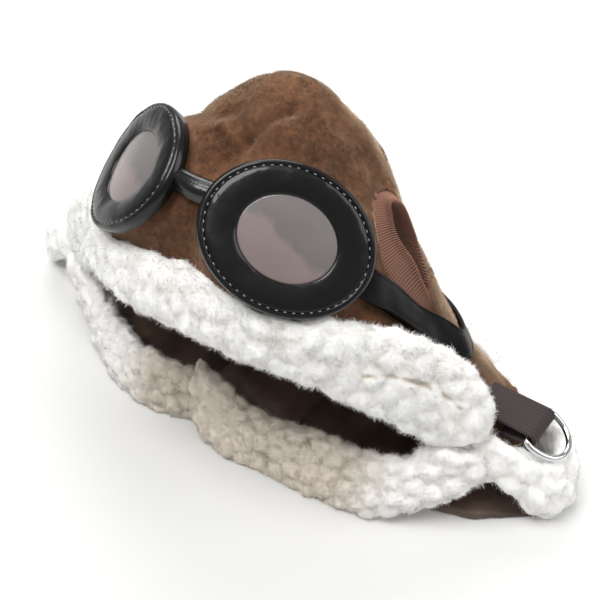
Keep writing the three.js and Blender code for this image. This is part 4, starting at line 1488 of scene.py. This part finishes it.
def goggle_lens(word, axes):
    """A nearly flat oval sheet held under the frame's inner edge, with a painted reflection across it.
    """
    around = FRAME_AROUND // 2
    angles = np.arange(around) / around * TURN
    wave, wave_size = LENS_WAVES
    rings, painted_reflections = [], []
    for r in np.linspace(LENS_FIRST, 1, LENS_RINGS):
        share = (LENS_SHARE * r * LENS_UNDER - 1) / (LENS_SHARE - 1)
        ring = goggle_place(axes, angles, share, LENS_HEIGHT + LENS_BOW * (1 - r * r) + 0 * angles)
        rings.append(ring + np.outer(wobble(ring, wave_size, LENS_SEEDS[word]) * wave, axes[3]))
        # painted reflection: which side of a slanted line each point lies on, stronger towards the rim
        painted_reflections.append(0.5 + 0.5 * r * np.sin(angles - LENS_SLANT))
    back = [ring - axes[3] * LENS_THICKNESS for ring in reversed(rings)]
    lens = facing_out(mesh_object("goggle_lens_" + word, *sweep(rings + back, closed=False)))
    attribute(lens, "slant", np.concatenate(painted_reflections + painted_reflections[::-1]))
    return lens


# Straps

STRAP_WIDTH = 10
STRAP_THICKNESS = 1.8
STRAP_GLOSS = 0.03
BRIDGE_GLOSS = 0.8
BRIDGE_SWELL = 2.6
# share of the way round, height and fall of the strap
STRAP_ROWS = [
    (0.1, 101, 330),
    (0.14, 87, 360),
    (0.175, 74.5, 300),
    (0.215, 64, 235),
    (0.26, 53, 215),
    (0.31, 45, 120),
    (0.4, 41, 20),
    (0.5, 41, 0),
]
BRIDGE_HEIGHT = 7
BRIDGE_LEAN = 0.9
# x, y and z of the bridge's middle
BRIDGE_ROWS = [(-14, -46, 109.5), (-3.5, -48.5, 110.5), (8, -47.5, 110)]
STRAP_STEPS = 240
BRIDGE_STEPS = 40
STRAP_SEED = 71
BRIDGE_SEED = 72
WRINKLE = 0.12
WRINKLE_SIZE = 6
# points across a strap's top and its underside, and where its edge starts to round off and by how much
TOP_POINTS = 41
UNDER_POINTS = 5
EDGE_FROM = 0.9
EDGE_SPAN = 0.1
EDGE_FALL = 0.7
# places of the two grooves by a strap's edge, their width, their depth and the inner one's share of it
GROOVES = (0.74, 0.6)
GROOVE_WIDTH = 0.05
GROOVE_DEPTH = 0.32
INNER_GROOVE = 0.6
EAR_CUTTER_REACH = 12


def strap_section(swell):
    """A strap's section as shares across and through, with sewn grooves by its edges."""
    top = []
    for w in np.linspace(-1, 1, TOP_POINTS):
        edge = 1 - max(0, (abs(w) - EDGE_FROM) / EDGE_SPAN) ** 2 * EDGE_FALL
        outer, inner = (math.exp(-(((abs(w) - place) / GROOVE_WIDTH) ** 2)) for place in GROOVES)
        top.append((w, edge - GROOVE_DEPTH * (outer + INNER_GROOVE * inner) + swell * (1 - w * w)))
    bottom = [(w, -1.0) for w in np.linspace(1, -1, UNDER_POINTS)]
    return top + bottom


def flat_strap(lower, upper, out, swell, wrinkle_seed):
    """A strap between two edge lines, slightly wrinkled."""
    section = strap_section(swell)
    rows = []
    for low, high, normal in zip(lower, upper, out):
        middle, half = (low + high) / 2, (high - low) / 2
        rows.append([middle + half * w + normal * STRAP_THICKNESS / 2 * n for w, n in section])
    points, faces = sweep(rows, closed=False)
    outs = np.repeat(out, len(section), axis=0)
    return points + outs * wobbles(points, ((WRINKLE, WRINKLE_SIZE, wrinkle_seed),))[:, None], faces


def ear_cutters():
    """Columns through the ear openings, for cutting the strap short of them."""
    cutters = []
    angles = np.arange(72) / 72 * TURN
    for word in SIDES:
        centre, length, width, out = ear_axes(word)
        along = np.outer(np.cos(angles) * EAR["half_length"], length)
        ring = centre + along + np.outer(np.sin(angles) * EAR["half_width"], width)
        reach = out * EAR_CUTTER_REACH
        points, faces = sweep([ring - reach, ring + reach], closed=False)
        cutters.append(facing_out(mesh_object("cutter_ear_" + word, points, faces)))
    return cutters


def cut_by(obj, cutters):
    """Takes the cutters' forms out of a piece and deletes them."""
    for cutter in cutters:
        modifier = obj.modifiers.new("cut", "BOOLEAN")
        modifier.operation = "DIFFERENCE"
        modifier.solver = "EXACT"
        modifier.object = cutter
    evaluated = obj.evaluated_get(bpy.context.evaluated_depsgraph_get())
    mesh = bpy.data.meshes.new_from_object(evaluated)
    obj.modifiers.clear()
    obj.data = mesh
    for cutter in cutters:
        bpy.data.objects.remove(cutter)


def make_straps():
    make_strap()
    make_bridge()


def make_strap():
    """The band from frame to frame round the back of the hood."""
    distance = 3 * GAP + STRAP_THICKNESS / 2
    step = 0.01
    rows = STRAP_ROWS + [(1 - s, z, -fall) for s, z, fall in STRAP_ROWS[-2::-1]]
    lower, upper, outs = [], [], []
    for s, z, fall in rows:
        point, normal = hood_at_height(s, z, distance)
        back, _ = hood_at_height(s - step, z + fall * step, distance)
        across = unit(np.cross(normal, point - back)) * STRAP_WIDTH / 2
        lower.append(point - across)
        upper.append(point + across)
        outs.append(normal)
    t = np.linspace(0, 1, STRAP_STEPS)
    lower, upper, outs = spline(lower, t), spline(upper, t), unit(spline(outs, t))
    strap = facing_out(mesh_object("leather_strap", *flat_strap(lower, upper, outs, 0, STRAP_SEED)))
    cut_by(strap, ear_cutters())
    leather = grained_leather(colour_of("leather"), STRAP_GLOSS)
    dress(strap, leather, "hat", ["goggle_strap"])


def make_bridge():
    """The short swollen band between the goggles."""
    half = BRIDGE_HEIGHT / 2
    t = np.linspace(0, 1, BRIDGE_STEPS)
    lower = spline([(x, y, z - half) for x, y, z in BRIDGE_ROWS], t)
    upper = spline([(x, y + half * BRIDGE_LEAN, z + half) for x, y, z in BRIDGE_ROWS], t)
    outs = unit(np.cross(np.gradient(lower, axis=0), upper - lower))
    outs = outs * -np.sign(outs[:, 1:2])
    points, faces = flat_strap(lower, upper, outs, BRIDGE_SWELL, BRIDGE_SEED)
    bridge = facing_out(mesh_object("leather_bridge", points, faces))
    leather = grained_leather(colour_of("leather"), BRIDGE_GLOSS)
    dress(bridge, leather, "hat", ["goggle_bridge"])


# Webbing loop and D ring

WEBBING_WIDTH = 15
WEBBING = 1.6
# middle of the ring's straight bar
BAR = vec(100.5, -2, 31.5)
# how far the loop reaches back above and below the bar, and how steeply the lower run falls
WEBBING_ROOT = 20
WEBBING_RETURN = 10
RETURN_FALL = 0.1
UPPER_STEPS = 24
FOLD_STEPS = 25
LOWER_STEPS = 12
FOLD_GAP = 0.8
WEBBING_POINTS = 78
WEBBING_RIBS = 9
RIB_DEPTH = 0.16
# the thinner selvedge: where it starts and its share of the thickness
SELVEDGE_FROM = 0.97
SELVEDGE = 0.55
# the root on the hood: where it is looked for from, where it is if none is found, how deep it goes
ROOT_LOOK = 140
ROOT_ELSE = 84.0
ROOT_SINK = 1.5
BAR_LENGTH = 17.5
BAR_STRAIGHT = 0.9
BAR_STEPS = 9
WIRE = 2.1
WIRE_SIDES = 20
RING_DEPTH = 12.5
RING_DROOP = math.radians(26)
BOW_ANGLE = 82
BOW_STEPS = 33
BOW_POWER = 0.8
RING_STEPS = 168


def webbing_line():
    """The loop's way in x and z from its root over the bar and back, with its direction."""
    fold = WIRE / 2 + GAP + WEBBING / 2
    turn = np.linspace(math.pi / 2, -math.pi / 2, FOLD_STEPS)
    line = [(x, fold) for x in np.linspace(-WEBBING_ROOT, -FOLD_GAP, UPPER_STEPS)]
    line += [(fold * math.cos(a), fold * math.sin(a)) for a in turn]
    line += [(x, -fold - RETURN_FALL * abs(x)) for x in np.linspace(-1, -WEBBING_RETURN, LOWER_STEPS)]
    line = np.array(line)
    ahead = np.gradient(line, axis=0)
    ahead /= np.linalg.norm(ahead, axis=1, keepdims=True)
    return line, ahead, fold


def webbing_root(share, height):
    """How far back from the bar the hood lies, at shares of the webbing's width."""
    tree = hood_tree()
    root = []
    for w in share:
        start = Vector((ROOT_LOOK, BAR[1] + w * WEBBING_WIDTH / 2, BAR[2] + height))
        hit, _, _, _ = tree.ray_cast(start, Vector((-1, 0, 0)))
        root.append((hit.x if hit is not None else ROOT_ELSE) - ROOT_SINK - BAR[0])
    return root


def make_webbing():
    line, ahead, fold = webbing_line()
    share = np.linspace(-1, 1, WEBBING_POINTS)
    wave = np.cos(share * WEBBING_RIBS * math.pi)
    edge = np.where(np.abs(share) > SELVEDGE_FROM, SELVEDGE, 1.0)
    top = WEBBING / 2 * edge - RIB_DEPTH * (1 - wave) / 2
    section = [(w, n) for w, n in zip(share, top)] + [(w, -n) for w, n in zip(share[::-1], top[::-1])]
    root = webbing_root(share, fold)
    rows = []
    for (x, z), (ax, az) in zip(line, ahead):
        normal = vec(-az, 0, ax)
        row = []
        for w, n in section:
            start = np.interp(w, share, root)
            reach = max(x, start) if z > 0 else x
            row.append(BAR + vec(reach, w * WEBBING_WIDTH / 2, z) + normal * n)
        rows.append(row)
    tab = facing_out(mesh_object("webbing_loop", *sweep(rows, closed=False)))
    # the ribs' height, which the webbing's colour turns into painted shade between the ribs and painted
    # light on their tops
    attribute(tab, "rib", np.tile(np.concatenate([wave, wave[::-1]]) * 0.5 + 0.5, len(line)))
    dress(tab, nylon_webbing(colour_of("webbing")), "hat", ["ring_tab"])


def make_ring():
    outward = vec(math.cos(RING_DROOP), 0, -math.sin(RING_DROOP))
    side = vec(0, 1, 0)
    half = BAR_LENGTH / 2
    line = [(w, 0) for w in np.linspace(-half * BAR_STRAIGHT, half * BAR_STRAIGHT, BAR_STEPS)]
    for angle in np.radians(np.linspace(BOW_ANGLE, -BOW_ANGLE, BOW_STEPS)):
        line.append((half * math.sin(angle), RING_DEPTH * math.cos(angle) ** BOW_POWER))
    places = [BAR + side * w + outward * d for w, d in line]
    path = spline(places, np.arange(RING_STEPS) / RING_STEPS, closed=True)
    ahead = unit(np.roll(path, -1, axis=0) - np.roll(path, 1, axis=0))
    flat = np.cross(outward, side)
    across = unit(np.cross(ahead, flat))
    angles = np.arange(WIRE_SIDES) / WIRE_SIDES * TURN
    sideways = np.cos(angles)[None, :, None] * across[:, None]
    rings = path[:, None] + WIRE / 2 * (sideways + np.sin(angles)[None, :, None] * flat[None, None])
    ring = facing_out(mesh_object("steel_ring", *sweep(rings)))
    dress(ring, nickel_plate(), "ring", ["d_ring"])


# Stage

CAMERA_AZIMUTH = math.radians(36)
CAMERA_ELEVATION = math.radians(42)
CAMERA_DISTANCE = 0.392
CAMERA_TARGET = Vector((0.006347, 0.008627, 0.034))
CAMERA_LENS = 63.83
CAMERA_SENSOR = 36
CAMERA_NEAR = 0.01
FLOOR_HALF = 2.5
FLOOR_GLOW = 0.05
SKY = 0.35
# name, place, size in metres, power in watts and colour of each soft light
LIGHTS = [
    ("overhead", (-0.15, -0.35, 1.05), 0.7, 10.5, (1, 0.995, 0.985)),
    ("behind", (-0.45, 0.6, 0.85), 0.8, 7, (1, 0.99, 0.97)),
    ("side", (0.8, 0.3, 0.75), 0.8, 4.5, (1, 0.99, 0.98)),
]


def white_paper():
    # Matt paper sweep: a faint tooth, and a touch of its own light so that it stays pale far out
    surface = {"Emission_Color": (1, 0.99, 0.975, 1), "Emission_Strength": FLOOR_GLOW}
    material, tree, shader = new_material("matt white paper", linear("#d5d5d4"), 0.9, **surface)
    place = object_place(tree)
    tooth_mm = 3
    tooth = add_node(tree, "TexNoise", {"Vector": place, "Scale": 1 / tooth_mm, "Detail": 4.0})
    bump = add_node(tree, "Bump", {"Height": tooth, "Distance": 0.02 * MM, "Strength": 0.3})
    wire(tree, shader, {"Normal": bump})
    return material


def area_light(name, place, size, power, colour):
    """A round soft light aimed at the hat."""
    data = bpy.data.lights.new(name, "AREA")
    data.shape = "DISK"
    data.size = size
    data.energy = power
    data.color = colour
    light = bpy.data.objects.new(name, data)
    light.location = place
    light.rotation_euler = (CAMERA_TARGET - Vector(place)).to_track_quat("-Z", "Y").to_euler()
    bpy.context.scene.collection.objects.link(light)


def make_floor():
    mesh = bpy.data.meshes.new("floor")
    corners = [(x * FLOOR_HALF, y * FLOOR_HALF, 0) for x, y in ((-1, -1), (1, -1), (1, 1), (-1, 1))]
    mesh.from_pydata(corners, [], [(0, 1, 2, 3)])
    floor = bpy.data.objects.new("floor", mesh)
    bpy.context.scene.collection.objects.link(floor)
    floor.data.materials.append(white_paper())


def make_camera():
    """The camera at the photograph's angle."""
    data = bpy.data.cameras.new("camera")
    data.lens = CAMERA_LENS
    data.sensor_width = CAMERA_SENSOR
    data.clip_start = CAMERA_NEAR
    camera = bpy.data.objects.new("camera", data)
    ahead = math.cos(CAMERA_ELEVATION)
    sideways, forward = math.sin(CAMERA_AZIMUTH) * ahead, -math.cos(CAMERA_AZIMUTH) * ahead
    back = Vector((sideways, forward, math.sin(CAMERA_ELEVATION)))
    camera.location = CAMERA_TARGET + back * CAMERA_DISTANCE
    camera.rotation_mode = "QUATERNION"
    camera.rotation_quaternion = (-back).to_track_quat("-Z", "Y")
    bpy.context.scene.collection.objects.link(camera)
    bpy.context.scene.camera = camera


def make_stage():
    scene = bpy.context.scene
    scene.view_settings.view_transform = "Standard"
    make_floor()
    world = bpy.data.worlds.new("studio")
    world.use_nodes = True
    background = world.node_tree.nodes["Background"]
    background.inputs["Color"].default_value = (1, 1, 1, 1)
    background.inputs["Strength"].default_value = SKY
    scene.world = world
    for row in LIGHTS:
        area_light(*row)
    make_camera()


# Operators and panel


class HAT_OT_crown(bpy.types.Operator):
    """Makes the fleece crown with its nap"""

    bl_idname = "hat.crown"
    bl_label = "Crown"

    def execute(self, context):
        make_crown()
        return {"FINISHED"}


class HAT_OT_lining(bpy.types.Operator):
    """Makes the satin lining"""

    bl_idname = "hat.lining"
    bl_label = "Lining"

    def execute(self, context):
        make_lining()
        return {"FINISHED"}


class HAT_OT_white_trims(bpy.types.Operator):
    """Makes the white pile rims of the face and the neck"""

    bl_idname = "hat.white_trims"
    bl_label = "White pile rims"

    def execute(self, context):
        make_white_trims()
        return {"FINISHED"}


class HAT_OT_chin_bands(bpy.types.Operator):
    """Makes the pile bands under the chin, painted beige as shade under the brim"""

    bl_idname = "hat.chin_bands"
    bl_label = "Chin bands"

    def execute(self, context):
        make_chin_bands()
        return {"FINISHED"}


class HAT_OT_throat_flaps(bpy.types.Operator):
    """Makes the two lapped throat flaps"""

    bl_idname = "hat.throat_flaps"
    bl_label = "Throat flaps"

    def execute(self, context):
        make_throat_flaps()
        return {"FINISHED"}


class HAT_OT_ear_cuffs(bpy.types.Operator):
    """Makes the knitted cuffs of the ear openings"""

    bl_idname = "hat.ear_cuffs"
    bl_label = "Ear cuffs"

    def execute(self, context):
        make_ear_cuffs()
        return {"FINISHED"}


class HAT_OT_goggles(bpy.types.Operator):
    """Makes the goggle frames with their stitches and lenses"""

    bl_idname = "hat.goggles"
    bl_label = "Goggles"

    def execute(self, context):
        make_goggles()
        return {"FINISHED"}


class HAT_OT_straps(bpy.types.Operator):
    """Makes the goggles' strap and bridge"""

    bl_idname = "hat.straps"
    bl_label = "Strap and bridge"

    def execute(self, context):
        make_straps()
        return {"FINISHED"}


class HAT_OT_webbing(bpy.types.Operator):
    """Makes the webbing loop"""

    bl_idname = "hat.webbing"
    bl_label = "Webbing loop"

    def execute(self, context):
        make_webbing()
        return {"FINISHED"}


class HAT_OT_ring(bpy.types.Operator):
    """Makes the D ring"""

    bl_idname = "hat.ring"
    bl_label = "D ring"

    def execute(self, context):
        make_ring()
        return {"FINISHED"}


class HAT_OT_stage(bpy.types.Operator):
    """Makes the floor, the lights and the camera"""

    bl_idname = "hat.stage"
    bl_label = "Stage"

    def execute(self, context):
        make_stage()
        return {"FINISHED"}


OPERATORS = (
    HAT_OT_crown,
    HAT_OT_lining,
    HAT_OT_white_trims,
    HAT_OT_chin_bands,
    HAT_OT_throat_flaps,
    HAT_OT_ear_cuffs,
    HAT_OT_goggles,
    HAT_OT_straps,
    HAT_OT_webbing,
    HAT_OT_ring,
    HAT_OT_stage,
)


class HAT_PT_panel(bpy.types.Panel):
    """The hat's pieces, sizes and colours"""

    bl_idname = "HAT_PT_panel"
    bl_label = "Pet aviator hat"
    bl_space_type = "VIEW_3D"
    bl_region_type = "UI"
    bl_category = "Hat"

    def draw(self, context):
        for group in (context.scene.hat_sizes, context.scene.hat_colours):
            for name in type(group).__annotations__:
                self.layout.prop(group, name)
        for operator in OPERATORS:
            self.layout.operator(operator.bl_idname)


CLASSES = (HatColours, HatSizes, *OPERATORS, HAT_PT_panel)


def register():
    for cls in CLASSES:
        bpy.utils.register_class(cls)
    bpy.types.Scene.hat_colours = PointerProperty(type=HatColours)
    bpy.types.Scene.hat_sizes = PointerProperty(type=HatSizes)


def unregister():
    del bpy.types.Scene.hat_sizes
    del bpy.types.Scene.hat_colours
    for cls in reversed(CLASSES):
        bpy.utils.unregister_class(cls)


def main():
    """Builds the hat on its stage."""
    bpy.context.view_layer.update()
    register()
    bpy.ops.hat.stage()
    bpy.ops.hat.crown()
    bpy.ops.hat.lining()
    bpy.ops.hat.white_trims()
    bpy.ops.hat.chin_bands()
    bpy.ops.hat.throat_flaps()
    bpy.ops.hat.ear_cuffs()
    bpy.ops.hat.goggles()
    bpy.ops.hat.straps()
    bpy.ops.hat.webbing()
    bpy.ops.hat.ring()


if __name__ == "__main__":
    main()
